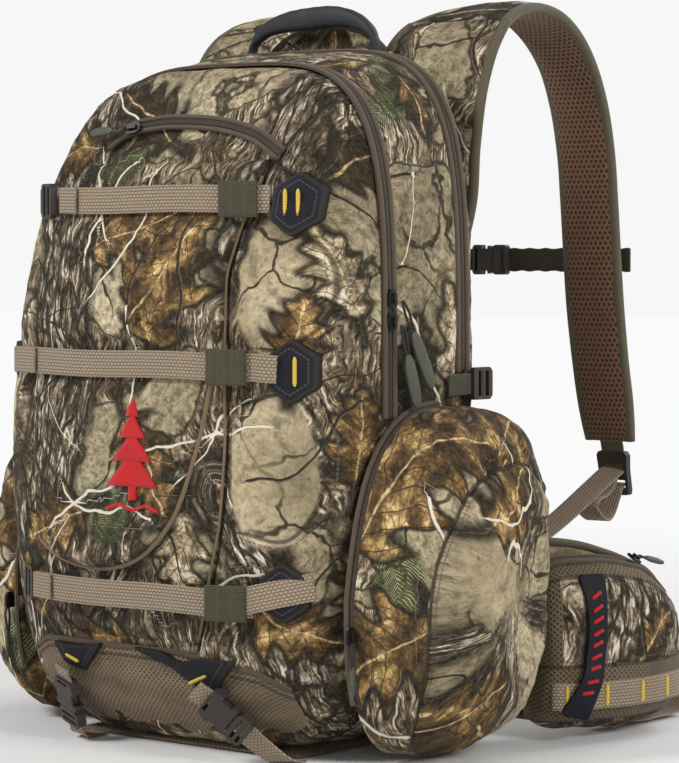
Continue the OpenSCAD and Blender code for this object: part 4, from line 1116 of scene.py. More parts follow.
RN, RM = 150, 92
zz = np.linspace(84, 436, RN)[:, None]; uu = np.linspace(0, 1, RM)[None, :]
aa = np.interp(zz, fp_l[:, 0], fp_l[:, 1]); bb = np.interp(zz, fp_r[:, 0], fp_r[:, 1])
X = aa + (bb - aa) * uu; Z = zz + 0 * X
off, ld = pocket_top(X, Z)
pr = strap_press(X, Z)
P3 = np.stack([X, yf(X, Z, 8), Z], -1)
wr = (1.5 * wrinkle(P3, 42, 21, (1, 1, 1.4)) + 0.7 * wrinkle(P3, 15, 22)) * (1 - 0.75 * pr)
e = np.minimum(np.minimum(X - aa, bb - X), np.minimum(Z - 84, 436 - Z))
off = off + wr * sm(e, 2, 14) + 1.1 * np.exp(-((np.abs(ld) - 9) / 5) ** 2) * np.sin(Z / 4.1 + X / 5.3) * (1 - pr) * 0.35
POFF = off
P = np.stack([X, yf(X, Z, off), Z], -1)
c2 = np.stack([X, yf(X, Z), Z], -1)
uvp = np.stack([X * 1.03, Z - zc], -1)
V, F, U, uvv = sheet_data(P, np.array([0, y0 - 30, zc]), uvp)
A = camo_attrs(cut(uvv, 0, (4000, 0)))
A["seam"] = np.vstack([np.c_[ld.ravel(), seg_dist(np.stack([X.ravel(), Z.ravel()], 1), lobe_line)[1], np.ones(X.size)], [99, 0, 0]])
ob = build("front_pocket_face", V, F, camo, U, A)
finish_piece(ob, "pack", ("front_pocket",))
# rolled piping along the lobe and the pocket's edges
pl = lobe_line[(lobe_line[:, 0] > -106)]
o1, _ = pocket_top(pl[:, 0], pl[:, 1])
C = np.stack([pl[:, 0], yf(pl[:, 0], pl[:, 1], o1) - 0.2, pl[:, 1]], 1)
parts = [tube_data(C, np.r_[0.6, np.full(len(C) - 2, 1.9), 0.6], 10)]
zr = np.linspace(90, 432, 130)
for side, tab in ((-1, fp_l), (1, fp_r)):
    xr = np.interp(zr, tab[:, 0], tab[:, 1]) - side * 0.5
    sp = cr(np.stack([xr, zr], 1)[::9], 120)
    C = np.stack([sp[:, 0], yf(sp[:, 0], sp[:, 1], 1.2) - 0.6, sp[:, 1]], 1)
    parts.append(tube_data(C, 1.15, 8))
ob = joined("front_pocket_piping", parts, piping)
finish_piece(ob, "pack", ())

# boot pocket: coarse mesh with hanging folds
BN, BM = 34, 130
xs = np.linspace(-128, 136, BM)[None, :]; v = np.linspace(0, 1, BN)[:, None]
zb = zc - hb * (0.988 ** 5 - (np.abs(xs) / half_w) ** 5) ** 0.2; zt = np.interp(xs, boot_top[:, 0], boot_top[:, 1])
X = xs + 0 * v; Z = zb + (zt - zb) * v
fold = 1.9 * np.sin((Z + 5 * np.sin(X / 37) + 3 * fbm(np.stack([X / 30, Z / 30, 0 * X], -1), 5)) / 5.2 * 1.4) * sm(v, 0.0, 0.2) * (1 - sm(v, 0.78, 1.0))
sag = 3.0 * np.sin(np.pi * np.clip((X + 70) / 130, 0, 1)) * np.sin(np.pi * v)
off = 3.5 + fold * (0.35 + 0.65 * (0.5 + 0.5 * fbm(np.stack([X / 45, Z / 20, 0 * X], -1), 9))) + sag + 1.2 * wrinkle(np.stack([X, 0 * X, Z], -1), 24, 15)
off = off * sm(np.minimum(X + 128, 136 - X), 0, 10) + 0.2
off = off * (0.35 + 0.65 * sm(v, 0, 0.12)) * (1 - 0.5 * sm(v, 0.93, 1.0))
P = np.stack([X, yf(X, Z, off) - 3, Z], -1)
V, F, U, uvv = sheet_data(P, np.array([0, y0 - 40, 60]), None)
sd = np.vstack([np.c_[((zt - Z) - 7).ravel(), X.ravel(), 0.9 * np.ones(X.size)], [99, 0, 0]])
ob = build("boot_pocket_panel", V, F, boot_mesh, U, {"seam": sd})
finish_piece(ob, "pack", ("boot_pocket",))
# bound edge of the boot pocket
xe = np.linspace(-127, 135, 120); ze = np.interp(xe, boot_top[:, 0], boot_top[:, 1])
se = cr(np.stack([xe, ze], 1)[::4], 150)
C = np.stack([se[:, 0], yf(se[:, 0], se[:, 1], 2.6) - 3.2, se[:, 1]], 1)
ob = joined("boot_pocket_binding", [ribbon_data(C, np.array([0, 0, 1.0]), nf(se[:, 0], se[:, 1]), 4.2, 2.6, 4)], brown_bind)
finish_piece(ob, "pack", ())

# emblem: a stitched fir tree over two ridge lines
def flat_patch(name, polys, off_fn, mat, th=1.1, step=2.0, body="pack", slot="camo_fabric"):
    parts = []
    bm = bmesh.new()
    for poly in polys:
        vs = [bm.verts.new((x, 0, z)) for x, z in poly]
        bm.faces.new(vs)
    bmesh.ops.triangulate(bm, faces=bm.faces)
    for k in range(3):
        long = [ed for ed in bm.edges if ed.calc_length() > step * 2]
        if long:
            bmesh.ops.subdivide_edges(bm, edges=long, cuts=1)
            bmesh.ops.triangulate(bm, faces=[f for f in bm.faces if len(f.verts) > 3])
    bm.verts.index_update(); bm.verts.ensure_lookup_table(); bm.faces.index_update()
    co = np.array([v.co for v in bm.verts]); nv = len(co)
    Fc = np.array([[v.index for v in f.verts] for f in bm.faces])
    ny_ = np.cross(co[Fc[:, 1]] - co[Fc[:, 0]], co[Fc[:, 2]] - co[Fc[:, 0]])[:, 1]
    Fc[ny_ > 0] = Fc[ny_ > 0][:, ::-1]
    border = [(ed.verts[0].index, ed.verts[1].index, ed.link_faces[0].index) for ed in bm.edges if len(ed.link_faces) == 1]
    o = off_fn(co[:, 0], co[:, 2])
    yb = yf(co[:, 0], co[:, 2], o) + 0.4
    isb = np.zeros(nv, bool)
    for a, b, f in border: isb[a] = isb[b] = True
    top = np.where(isb, yb - th * 0.75, yb - th * 1.25)
    Vt = np.stack([co[:, 0], top, co[:, 2]], 1); Vb = np.stack([co[:, 0], yb, co[:, 2]], 1)
    side = []
    for a, b, f in border:
        ids = list(Fc[f]); k = ids.index(a)
        if ids[(k + 1) % 3] != b: a, b = b, a
        side.append([b, a, a + nv, b + nv])
    bm.free()
    V = np.vstack([Vt, Vb]); F = [Fc, Fc[:, ::-1] + nv, np.array(side)]
    uvv = np.stack([V[:, 0], V[:, 2]], 1)
    return build(name, V, F, mat, [uvv[f] for f in F])


ex, ez = 12.0, 222.0
def hexagon_points(c, r, k=6):
    return [(c[0] + 0.94 * r * math.cos(math.radians(60 * i + 30)), c[1] + r * math.sin(math.radians(60 * i + 30))) for i in range(k)]


def pocket_off(x, z):
    """offset of the pocket's face at x, z, creases included"""
    x = np.asarray(x, float); z = np.asarray(z, float)
    a_ = np.interp(z, fp_l[:, 0], fp_l[:, 1]); b_ = np.interp(z, fp_r[:, 0], fp_r[:, 1])
    i = np.clip((z - 84) / 352, 0, 0.999) * (RN - 1); j = np.clip((x - a_) / (b_ - a_), 0, 0.999) * (RM - 1)
    i0 = i.astype(int); j0 = j.astype(int); fi = i - i0; fj = j - j0
    return POFF[i0, j0] * (1 - fi) * (1 - fj) + POFF[i0 + 1, j0] * fi * (1 - fj) + POFF[i0, j0 + 1] * (1 - fi) * fj + POFF[i0 + 1, j0 + 1] * fi * fj + 1.0


tree = [[(0, 42), (7, 28), (-7, 28)], [(2.6, 28), (13, 12.5), (-13, 12.5), (-2.6, 28)], [(5, 12.5), (19, -4.5), (-19, -4.5), (-5, 12.5)],
        [(8, -4.5), (25, -23), (-25, -23), (-8, -4.5)], [(3.6, -23), (3.6, -33), (-3.6, -33), (-3.6, -23)]]
for k in range(4):
    x0_ = -26 + 13 * k; za, zb_ = (-39, -35) if k % 2 == 0 else (-35, -39)
    tree.append([(x0_, za), (x0_ + 13, zb_), (x0_ + 13, zb_ - 2.6), (x0_, za - 2.6)])
ob = flat_patch("front_emblem", [[(ex + x, ez + z) for x, z in poly] for poly in tree], pocket_off, red)
finish_piece(ob, "pack", ())


# ------------------------------------------------------------------ main compartment
SEC = np.array([[-19, 0, 0, 3.0], [-12, 1, 1, 3.0], [10, 4.0, 6.5, 3.4], [38, 5.0, 11.5, 4], [56, 3.0, 14, 4.5], [66, -0.6, 13.4, 4.6], [76, 1.2, 13, 4.6], [84, -4, 9, 4.6], [88, -12, 2, 4.6]])
ys_ = np.concatenate([np.linspace(-19, 88, 46)])
MA = 430
tm = ring_angles(lambda t: edge(t, half_w, arch_front + 8, hb, 4.0), MA, -90)
rows = []
for y in ys_:
    dW, dH, nl = [np.interp(y, SEC[:, 0], SEC[:, k]) for k in (1, 2, 3)]
    e = edge(tm, half_w + dW, arch_front + dH, hb, nl)
    rows.append(np.stack([e[:, 0], np.full(MA, y), e[:, 1]], 1))
P = np.array(rows)
N = gnorm(P, unit(P * [1, 0, 1] - [0, 0, zc]), True)
rear = np.abs(P[..., 1] - 79)
wr = 1.8 * wrinkle(P, 44, 51, (1, 1.2, 1.3)) + 0.7 * wrinkle(P, 15, 52)
wr = wr * sm(P[..., 1], -19, -8) * (1 - sm(P[..., 1], 55, 62) * (1 - sm(P[..., 1], 70, 76)))
P = P + N * (wr * (1 - 0.6 * sm(-np.abs(P[..., 2] - 4), -6, 0)))[..., None]
P[..., 2] = np.maximum(P[..., 2], 2.5)
per = np.r_[0, np.cumsum(np.linalg.norm(np.diff(P[10], axis=0), axis=1))]
V, F, U, uvv = loft_data(P, True, ends=[np.array([0, -14, zc]), np.array([0, 84, zc])])
A = camo_attrs(cut(np.stack([uvv[:, 0], uvv[:, 1]], 1), 90, (-150, -560)))
d1 = np.abs(V[:, 1] - 81) ; sd = np.c_[V[:, 1] - 82.5, uvv[:, 0], 0.8 * (V[:, 2] > 200)]
A["seam"] = sd
ob = build("main_body", V, F, camo, U, A)
finish_piece(ob, "pack", ("main_compartment",))

# bottom panel
xs = np.linspace(-112, 112, 60); yy = np.linspace(-62, 84, 44)
Xb, Yb = np.meshgrid(xs, yy)
e = np.minimum(np.minimum(Xb + 112, 112 - Xb), np.minimum(Yb + 62, 84 - Yb))
Zb = 2.6 - 2.6 * np.sqrt(np.clip(1 - (1 - np.clip(e / 7, 0, 1)) ** 2, 0, 1)) + 0.35 * (wrinkle(np.stack([Xb, Yb, 0 * Xb], -1), 26, 61) * sm(e, 6, 20) + 1)
Zb = np.clip(Zb, 0.0, 3.0)
V, F, U, uvv = sheet_data(np.stack([Xb, Yb, Zb], -1), np.array([0, 10, 6.0]))
ob = build("base_cloth", V, F, boot_mesh, U)
finish_piece(ob, "pack", ("base_panel",))


# ------------------------------------------------------------------ zips: tape, coil and two welts
def zip_run(C, S, Nn, w, coil=4.6, welt=True, lift=1.2):
    """C centreline, S across, Nn outward"""
    C = np.asarray(C); S = np.broadcast_to(S, C.shape); Nn = np.broadcast_to(Nn, C.shape)
    tape = [ribbon_data(C, S, Nn, w, 1.2, 4)]
    k = np.stack([np.linspace(-coil/2, coil/2, 7), 0 * np.linspace(0, 1, 7)], 1)
    pr = []
    for a in np.linspace(0, 2 * math.pi, 15)[:-1]:
        pr.append((coil / 2 * math.cos(a), 0.9 * math.sin(a)))
    teeth = [ribbon_data(C + Nn * 1.0, S, Nn, 1, 1, prof=np.array(pr))]
    lips = []
    if welt:
        for s in (-1, 1):
            pr = [((w/2 - coil/2 - 0.6) / 2 * math.cos(a), 1.25 * math.sin(a)) for a in np.linspace(0, 2 * math.pi, 13)[:-1]]
            lips.append(ribbon_data(C + Nn * lift + S * s * (w/4 + coil/4 + 0.2), S, Nn, 1, 1, prof=np.array(pr)))
    return tape, teeth, lips


def zip_pieces(name, runs, w, nodes, coil=4.6, body="pack"):
    T, K, Lp = [], [], []
    for C, S, Nn in runs:
        a, b, c = zip_run(C, S, Nn, w, coil); T += a; K += b; Lp += c
    ob = joined(name + "_tape", T, zip_tape); finish_piece(ob, body, nodes)
    ob = joined(name + "_coil", K, zip_coil); finish_piece(ob, body, ())
    ob = joined(name + "_welts", Lp, zip_lip); finish_piece(ob, body, ())


def arch_path(w, ht, y, t1, t2, nl, n=260):
    t = np.linspace(t1, t2, 1200); e = edge(t, w, ht, hb, nl)
    L = np.r_[0, np.cumsum(np.linalg.norm(np.diff(e, axis=0), axis=1))]
    e = edge(np.interp(np.linspace(0, L[-1], n), L, t), w, ht, hb, nl)
    C = np.stack([e[:, 0], np.full(n, y), e[:, 1]], 1)
    T = unit(np.gradient(C, axis=0)); Nn = unit(np.cross(T, [0, 1.0, 0]))
    Nn *= np.sign((Nn * (C - [0, y, zc])).sum(1).mean())
    return C, np.array([0, 1.0, 0]), Nn


C, S, Nn = arch_path(half_w + 1.6, arch_front + 1.6, y0, 2, 178, slump)
zip_pieces("front_zip", [(C, S, Nn)], 16, ("front_zip",), 4.8)
C, S, Nn = arch_path(half_w + 2.2, arch_front + 15.2, 66, 8, 172, 4.6)
zip_pieces("main_zip", [(C, S, Nn)], 16, ("main_zip",), 4.8)
tz = np.array([[-58, 450], [-45, 458], [-10, 465], [20, 465], [60, 461], [92, 452], [112, 440]], float)
cz = cr(tz, 110)
C = np.stack([cz[:, 0], yf(cz[:, 0], cz[:, 1], 3.0) - 1.6, cz[:, 1]], 1)
Nn = nf(cz[:, 0], cz[:, 1], 1.6); T = unit(np.gradient(C, axis=0)); S = unit(np.cross(T, Nn))
zip_pieces("top_pocket_zip", [(C, S, Nn)], 12, ("top_pocket_zip",), 4.6)

# ------------------------------------------------------------------ side pockets
pk_y, pk_z, pocket_out = 22.0, 122.0, 74.0


def pk_edge(t):
    t = np.radians(t); c = np.cos(t); s = np.sin(t)
    w = np.where(c >= 0, 80.0, 88.0); h = np.where(s >= 0, 131.0, 119.0)
    r = (np.abs(c) ** 3 + np.abs(s) ** 3) ** (1 / 3)
    return np.stack([w * c / r + np.where(s > 0, 0.16 * h * s / r, 0), h * s / r], -1)


SEAM_T = np.array([[-60, 40], [0, 50], [40, 53], [74, 55], [113, 59], [130, 58], [147, 55.5], [165, 49.5], [178, 48], [199, 46], [212, 43], [224, 32], [240, 16], [262, 4], [300, 2]], float)


def side_pocket(left):
    k = 0.97 if left else 1.0
    MP = 300
    tp = ring_angles(pk_edge, MP, -60)
    ee = pk_edge(tp)
    av = np.r_[0, np.linspace(1.0, 88.5, 78)]
    a = np.radians(av)[:, None]; cq = np.cos(a)
    P = np.stack([np.broadcast_to(167.6 + pocket_out * k * np.sin(a) / math.sin(math.radians(82)), (len(av), MP)), pk_y + ee[None, :, 0] * (0.3 + 0.7 * cq), pk_z + ee[None, :, 1] * (0.35 + 0.65 * cq)], -1)
    P[..., 0] = np.minimum(P[..., 0], 242.5)
    N = gnorm(P, unit(P - [150, pk_y, pk_z]), True)
    dl = np.linalg.norm(np.diff(P, axis=0), axis=2)
    L = np.concatenate([np.zeros((1, MP)), np.cumsum(dl, 0)])
    ang = np.where(tp > 300, tp - 360, tp)
    a_s = np.interp(ang, SEAM_T[:, 0], SEAM_T[:, 1])
    Ls = np.array([np.interp(s, av, L[:, j]) for j, s in enumerate(a_s)])
    sd = L - Ls[None, :]
    strength = sm(ang, -40, -20) * (1 - sm(ang, 236, 250))
    disp = -2.6 * np.exp(-(sd / 2.8) ** 2) * strength + 3.2 * (1 - np.exp(-(sd / 16) ** 2)) * strength
    body = sm(av, 3, 16)[:, None]
    disp += body * (2.2 * wrinkle(P, 40, 71 + left, (1, 1, 1.3)) + 0.9 * wrinkle(P, 16, 73 + left))
    # pucker folds running into the seam near the top
    disp += body * 1.1 * np.exp(-(sd / 14) ** 2) * np.sin(ang / 3.1)[None, :] * sm(ang, 60, 100)[None, :]
    P = P + N * (disp * (1 - 0.9 * sm(-P[..., 2], -9, -3)))[..., None]
    P[..., 2] = np.maximum(P[..., 2], 2.0)
    P[..., 0] = np.minimum(P[..., 0], 246.0)
    V, F, U, uvv = loft_data(P, True, ends=[np.array([166.0, pk_y, pk_z]), np.array([P[-1, :, 0].mean() + 0.3, pk_y, pk_z])])
    inner = (sd < 0).ravel()
    Lw = (tp - tp[0]) / 360 * 640
    ua = np.stack([np.broadcast_to(-Lw[None, :] + 330, L.shape), L], -1).reshape(-1, 2)
    uo = np.stack([P[..., 1] - pk_y + L * 0.25 * np.cos(np.radians(tp))[None, :], P[..., 2] - pk_z + L * 0.25 * np.sin(np.radians(tp))[None, :]], -1).reshape(-1, 2)
    # gusset: front edge runs down the pocket
    Qg = cut(np.stack([ua[:, 0], -ua[:, 1]], 1), 90, (7960, 0)); Qo = cut(uo, 0, (12000, 0))
    if left:
        Qg = Qg + [40, 60]; Qo = Qo * [1, 1] + [-30, -10]
    Q = np.where(inner[:, None], Qg, Qo)
    Q = np.vstack([Q, [7960, 0], [12000, 0]])
    A = camo_attrs(Q)
    A["seam"] = np.vstack([np.c_[sd.ravel(), np.broadcast_to(Lw, L.shape).ravel(), np.broadcast_to(strength, L.shape).ravel()], [[99, 0, 0], [99, 0, 0]]])
    if left:
        V = V * [-1, 1, 1]; F = [f[:, ::-1] for f in F]; U = [u[:, ::-1] for u in U]
    nm = "left" if left else "right"
    ob = build("side_pocket_shell_" + nm, V, F, camo, U, A)
    finish_piece(ob, "pack", ("side_pocket_" + nm,))


side_pocket(False); side_pocket(True)

runs = []
for s in (1, -1):
    t = np.linspace(98, 214, 150); e = pk_edge(t)
    e = cr(e, 150)
    Tn = unit(np.gradient(e, axis=0)); out = np.stack([Tn[:, 1], -Tn[:, 0]], 1)
    out *= np.sign((out * e).sum(1).mean())
    C = np.stack([np.full(150, 170.6), pk_y + e[:, 0] + out[:, 0] * 2.6, pk_z + e[:, 1] + out[:, 1] * 2.6], 1)
    O = np.stack([np.zeros(150), out[:, 0], out[:, 1]], 1)
    Nn = unit(O * 0.72 + np.array([0.70, 0, 0])); S = unit(np.cross(np.gradient(C, axis=0), Nn))
    m = np.array([s, 1, 1])
    runs.append((C * m, S * m, Nn * m))
zip_pieces("side_pocket_zip", runs, 12.5, ("side_pocket_zips",), 4.6)

# ------------------------------------------------------------------ frame and back
for n, m_ in (("frame_sheet", frame_pl), ("frame_stays", alu)):
    frame["nodes"][n].data.materials.clear(); frame["nodes"][n].data.materials.append(m_)

tb = ring_angles(lambda t: edge(t, 146, 262, 226), 220, -90)
e = edge(tb, 146, 262, 226)
rr_ = [1.0, 1.0, 0.985, 0.965] + list(np.linspace(0.94, 0.03, 40))
yy_ = [92.0, 95.2, 96.6, 97.0] + [97.0] * 40
P = np.array([np.stack([e[:, 0] * r, np.full(220, y), zc + (e[:, 1] - zc) * r], 1) for r, y in zip(rr_, yy_)])
wr = 0.5 * wrinkle(P, 30, 81)
P[..., 1] += np.where(P[..., 1] > 96.8, -0.9 + wr, 0)
V, F, U, uvv = loft_data(P, True, ends=[np.array([0, 93.6, zc]), np.array([0, 96.2, zc])])
uvb = np.stack([V[:, 0], V[:, 2]], 1)
ob = build("back_panel_mesh", V, F, back_mesh, [uvb[f] for f in F])
finish_piece(ob, "pack", ("back_panel",))
C = np.stack([e[:, 0] * 1.0, np.full(220, 95.0), zc + (e[:, 1] - zc) * 1.0], 1); C = np.vstack([C, C[:1]])
ob = joined("back_panel_binding", [tube_data(C, 2.6, 8)], brown_bind)
finish_piece(ob, "pack", ())


def swell(ob, pressure=4.0, cap=0.006, frames=20, pin=None, mass=0.3, stiff=12.0, voxel=None):
    """cloth simulation with inside pressure; how far a point may move is capped, then the shape is kept"""
    me = ob.data
    n = len(me.vertices)
    rest = np.zeros(n * 3); me.vertices.foreach_get("co", rest); rest = rest.reshape(-1, 3)
    if pin is not None:
        vg = ob.vertex_groups.new(name="pin"); vg.add([int(i) for i in np.where(pin)[0]], 1.0, "REPLACE")
    m = ob.modifiers.new("cloth", "CLOTH"); st = m.settings
    st.quality = 5; st.mass = mass; st.use_pressure = True; st.uniform_pressure_force = pressure
    st.tension_stiffness = stiff; st.compression_stiffness = stiff * 0.5; st.shear_stiffness = stiff * 0.4; st.bending_stiffness = 0.4
    st.effector_weights.gravity = 0.0
    if pin is not None:
        st.vertex_group_mass = "pin"; st.pin_stiffness = 1.0
    m.collision_settings.use_collision = False; m.collision_settings.use_self_collision = False
    m.point_cache.frame_start = 1; m.point_cache.frame_end = frames
    for f in range(1, frames + 1):
        scene.frame_set(f)
    dg = bpy.context.evaluated_depsgraph_get()
    ev = ob.evaluated_get(dg); co = np.zeros(n * 3)
    ev.data.vertices.foreach_get("co", co); co = co.reshape(-1, 3)
    d = co - rest
    if not np.isfinite(d).all():
        d = np.zeros_like(d)
    l = np.linalg.norm(d, axis=1, keepdims=True)
    d = d * np.minimum(1.0, cap / np.maximum(l, 1e-9))
    ob.modifiers.clear(); ob.vertex_groups.clear()
    me.vertices.foreach_set("co", (rest + d).astype(np.float32).ravel()); me.update()
    scene.frame_set(1)
    return ob


def pillow(name, x0, x1, z0, z1, yb, yt, mat, body, nodes, n=46, m=40, crown=1.0, r=10.0, channels=(), seed=0, cap=0.004):
    """a padded panel lying against the back panel: crowned face, pulled-in sides, sewn channels"""
    xs = np.linspace(x0, x1, m)[None, :]; zs = np.linspace(z0, z1, n)[:, None]
    cx, cz_ = (x0 + x1) / 2, (z0 + z1) / 2; hx, hz = (x1 - x0) / 2, (z1 - z0) / 2
    u = (xs - cx) / hx + 0 * zs; v = (zs - cz_) / hz + 0 * xs
    # rounded corners with sides pulled in between them
    X = cx + hx * u * (1 - 0.10 * np.abs(v) ** 6) * (1 - 0.025 * (1 - v ** 2)); Z = cz_ + hz * v * (1 - 0.10 * np.abs(u) ** 6) * (1 - 0.02 * (1 - u ** 2))
    s = (1 - np.abs(u) ** 5) ** 0.5 * (1 - np.abs(v) ** 5) ** 0.5
    crownf = (1 - u ** 2) * 0.5 + (1 - v ** 2) * 0.5
    Y = yb + (yt - yb) * s * (0.80 + 0.20 * crownf)
    sd = np.full(X.shape, 99.0)
    for ch in channels:
        d = np.abs((Z if ch[0] == "z" else X) - ch[1])
        Y -= 3.6 * np.exp(-(d / 3.2) ** 2) * s; sd = np.where(d < np.abs(sd), (Z if ch[0] == "z" else X) - ch[1], sd)
    Y += 0.5 * wrinkle(np.stack([X, Y, Z], -1), 18, seed) * s
    P = np.stack([X, Y, Z], -1)
    V, F, U, uvv = sheet_data(P, np.array([cx, yb - 0.3, cz_]))
    eb = np.minimum(hx * (1 - np.abs(u)), hz * (1 - np.abs(v))) - 4.0
    seam = np.where(np.abs(sd) < 8, sd, eb)
    ob = build(name, V, F, mat, U, {"seam": np.vstack([np.c_[seam.ravel(), (X + Z).ravel(), np.ones(X.size)], [99, 0, 0]])})
    pin = np.r_[((np.abs(u) > 0.97) | (np.abs(v) > 0.97)).ravel(), True]
    swell(ob, 3.0, cap / 1000 * 1.0 if cap > 1 else cap, 14, pin)
    finish_piece(ob, body, nodes)
    return ob


first = True
for s in (-1, 1):
    for i, (z0, z1) in enumerate(((150, 206), (213, 290), (297, 398))):
        xa, xb = (24, 144) if s > 0 else (-144, -24)
        side = "right" if s > 0 else "left"
        pillow(f"back_pad_{side}_{i + 1}", xa, xb, z0, z1, 97.3, 108.0, pad_cloth, "pack", ("back_pads",) if first else (),
               channels=(("x", (xa + xb) / 2 + s * 14),) if i == 2 else (), seed=90 + i + 5 * (s > 0), cap=0.0022, n=40, m=44)
        first = False
pillow("lumbar_cushion", -84, 84, 26, 142, 97.3, 111.0, pad_cloth, "pack", ("lumbar_pad",), n=56, m=76, channels=(("z", 84), ("x", -30), ("x", 30)), seed=99, cap=0.0022)


# ------------------------------------------------------------------ webbing across the front
def strap_off(x):
    return np.where(x > 84, 14 - 9 * np.minimum(1, (x - 84) / 26), 14.0)


def strap_y(x, z):
    o = strap_off(x)
    return np.minimum(yf(x, z - 10, o), yf(x, z + 10, o)) - 0.4


SX = {}
parts = []
for (z, xa, xb) in comp:
    xs = np.linspace(xa, xb, 140)
    y = strap_y(xs, z)
    y = np.convolve(np.r_[[y[0]] * 4, y, [y[-1]] * 4], np.ones(9) / 9, "valid")
    C = np.stack([xs, y - 1.0, z + 0.5 * np.sin(xs / 23.0)], 1)
    T = unit(np.gradient(C, axis=0)); Nn = unit(np.cross(T, [0, 0, -1.0])); Nn *= np.sign((Nn * [0, -1, 0]).sum(1).mean())
    SX[z] = (C, Nn)
    parts.append(ribbon_data(C, np.array([0, 0, 1.0]), Nn, 20, 1.9, 10))
    # the tail doubled back over the strap, from the ladder lock to just before the middle
    k = {408: 16, 288: 20, 119: 16}[z]
    D = C[:k] + Nn[:k] * (2.0 + 0.9 * np.linspace(0, 1, k)[:, None] ** 2)
    parts.append(ribbon_data(D, np.array([0, 0, 1.0]), Nn[:k], 19.4, 1.7, 10))
for z, xa, xb, sl, oa, ob_ in ((288, 106, 130.5, -0.06, 5.5, 12.2), (119, 100, 149, 0.26, 6.5, 11.5)):
    xs = np.linspace(xa, xb, 50); zs = z + sl * (xs - xa)
    o = oa + (ob_ - oa) * sm(xs, xa, xa + 18)
    C = np.stack([xs, np.minimum(yf(xs, zs - 9, o), yf(xs, zs + 9, o)) - 1.2, zs], 1)
    T = unit(np.gradient(C, axis=0)); Sd = unit(np.array([-sl, 0, 1.0])); Nn = unit(np.cross(T, -Sd)); Nn *= np.sign((Nn * [0, -1, 0]).sum(1).mean())
    parts.append(ribbon_data(C, Sd, Nn, 20, 1.9, 10))
ob = joined("compression_webbing", parts, taupe_web)
finish_piece(ob, "pack", ("compression_straps",))

# sleeves of olive webbing that keep the tails
parts = []
for (z, xa, xb) in comp:
    C, Nn = SX[z]
    i0, i1 = np.searchsorted(C[:, 0], 79), np.searchsorted(C[:, 0], 105)
    sel = np.linspace(i0, i1, 22).astype(int)
    Cc = C[sel]; Nc = Nn[sel]
    out = Cc + Nc * 2.6
    parts.append(ribbon_data(out, np.array([0, 0, 1.0]), Nc, 26, 2.4, 10))
    for s in (-1, 1):
        parts.append(ribbon_data(Cc + np.array([0, 0, s * 12.0]) + Nc * 0.6, Nc, np.array([0, 0, s * 1.0]), 4.2, 1.8, 3))
ob = joined("webbing_keepers", parts, olive_web)
finish_piece(ob, "pack", ("strap_keepers",))


# ------------------------------------------------------------------ rubber patches
def patch_surface(x, z, o):
    return yf(x, z, o)


def radial_patch(outline, off, th, mat_seam=4.0, rings=16):
    """a moulded patch from a closed outline: flat raised face, stepped rim"""
    O = np.asarray(outline, float)
    m = len(O); c = O.mean(0)
    fr = np.r_[np.linspace(0.03, 0.86, rings), 0.90, 0.94, 0.965, 0.985, 1.0, 1.0]
    hh = np.r_[np.full(rings, 1.0), 1.0, 1.12, 1.14, 0.95, 0.5, -1.2]
    R = []
    for f, h in zip(fr, hh):
        p = c + (O - c) * f
        R.append(np.stack([p[:, 0], yf(p[:, 0], p[:, 1], off) - 1.0 - th * h, p[:, 1]], 1))
    R = np.array(R)
    V, F, U, uvv = loft_data(R, True, ends=[np.array([c[0], yf(c[0], c[1], off) - 1.0 - th, c[1]]), np.array([c[0], yf(c[0], c[1], off) + 1.5, c[1]])])
    uvp = np.stack([V[:, 0], V[:, 2]], 1)
    size = np.linalg.norm(O - c, axis=1).mean()
    sdist = np.concatenate([np.full(m, (1 - f) * size) for f in fr] + [[99, 99]])
    al = np.concatenate([np.r_[0, np.cumsum(np.linalg.norm(np.diff(O, axis=0), axis=1))]] * len(fr) + [[0, 0]])
    return V, F, [uvp[f] for f in F], {"seam": np.c_[sdist - 0.6, al, np.full(len(V), 0.8)]}


def smooth_outline(pts, r=3.0, per=8):
    """outline with rounded corners"""
    P = np.asarray(pts, float); out = []
    for i in range(len(P)):
        a, b, c = P[i-1], P[i], P[(i+1) % len(P)]
        ra = min(r, np.linalg.norm(a-b) * 0.45); rc = min(r, np.linalg.norm(c-b) * 0.45)
        p0 = b + unit(a-b) * ra; p1 = b + unit(c-b) * rc
        for t in np.linspace(0, 1, per):
            out.append((1-t)**2 * p0 + 2*t*(1-t) * b + t*t * p1)
    out = np.array(out)
    L = np.r_[0, np.cumsum(np.linalg.norm(np.diff(np.vstack([out, out[:1]]), axis=0), axis=1))]
    s = np.linspace(0, L[-1], 97)[:-1]; cl = np.vstack([out, out[:1]])
    return np.stack([np.interp(s, L, cl[:, 0]), np.interp(s, L, cl[:, 1])], 1)


parts = []
HEX = [(131.5, 404, 23.5, 0.74), (137, 285, 23.5, 0.66), (131.5, 127, 22, 0.70)]
for hx, hz, hr, hk in HEX:
    parts.append(radial_patch(smooth_outline([(hx + hk / 0.94 * (x - hx), z) for x, z in hexagon_points((hx, hz), hr)], 2.2), 7.5, 2.6))
TABS = [[(94, 76), (76, 58), (70, 49), (46, 58), (36, 66), (-4, 79), (24, 78), (44, 71), (60, 76)], [(-36, 79), (-54, 62), (-58, 55), (-79, 60), (-88, 77), (-68, 75), (-56, 76)]]
for t in TABS:
    parts.append(radial_patch(smooth_outline(t, 3.0), 9.5, 2.4, rings=12))
ob = joined("rubber_anchor_patches", parts, rubber)
finish_piece(ob, "pack", ("rubber_patches",))


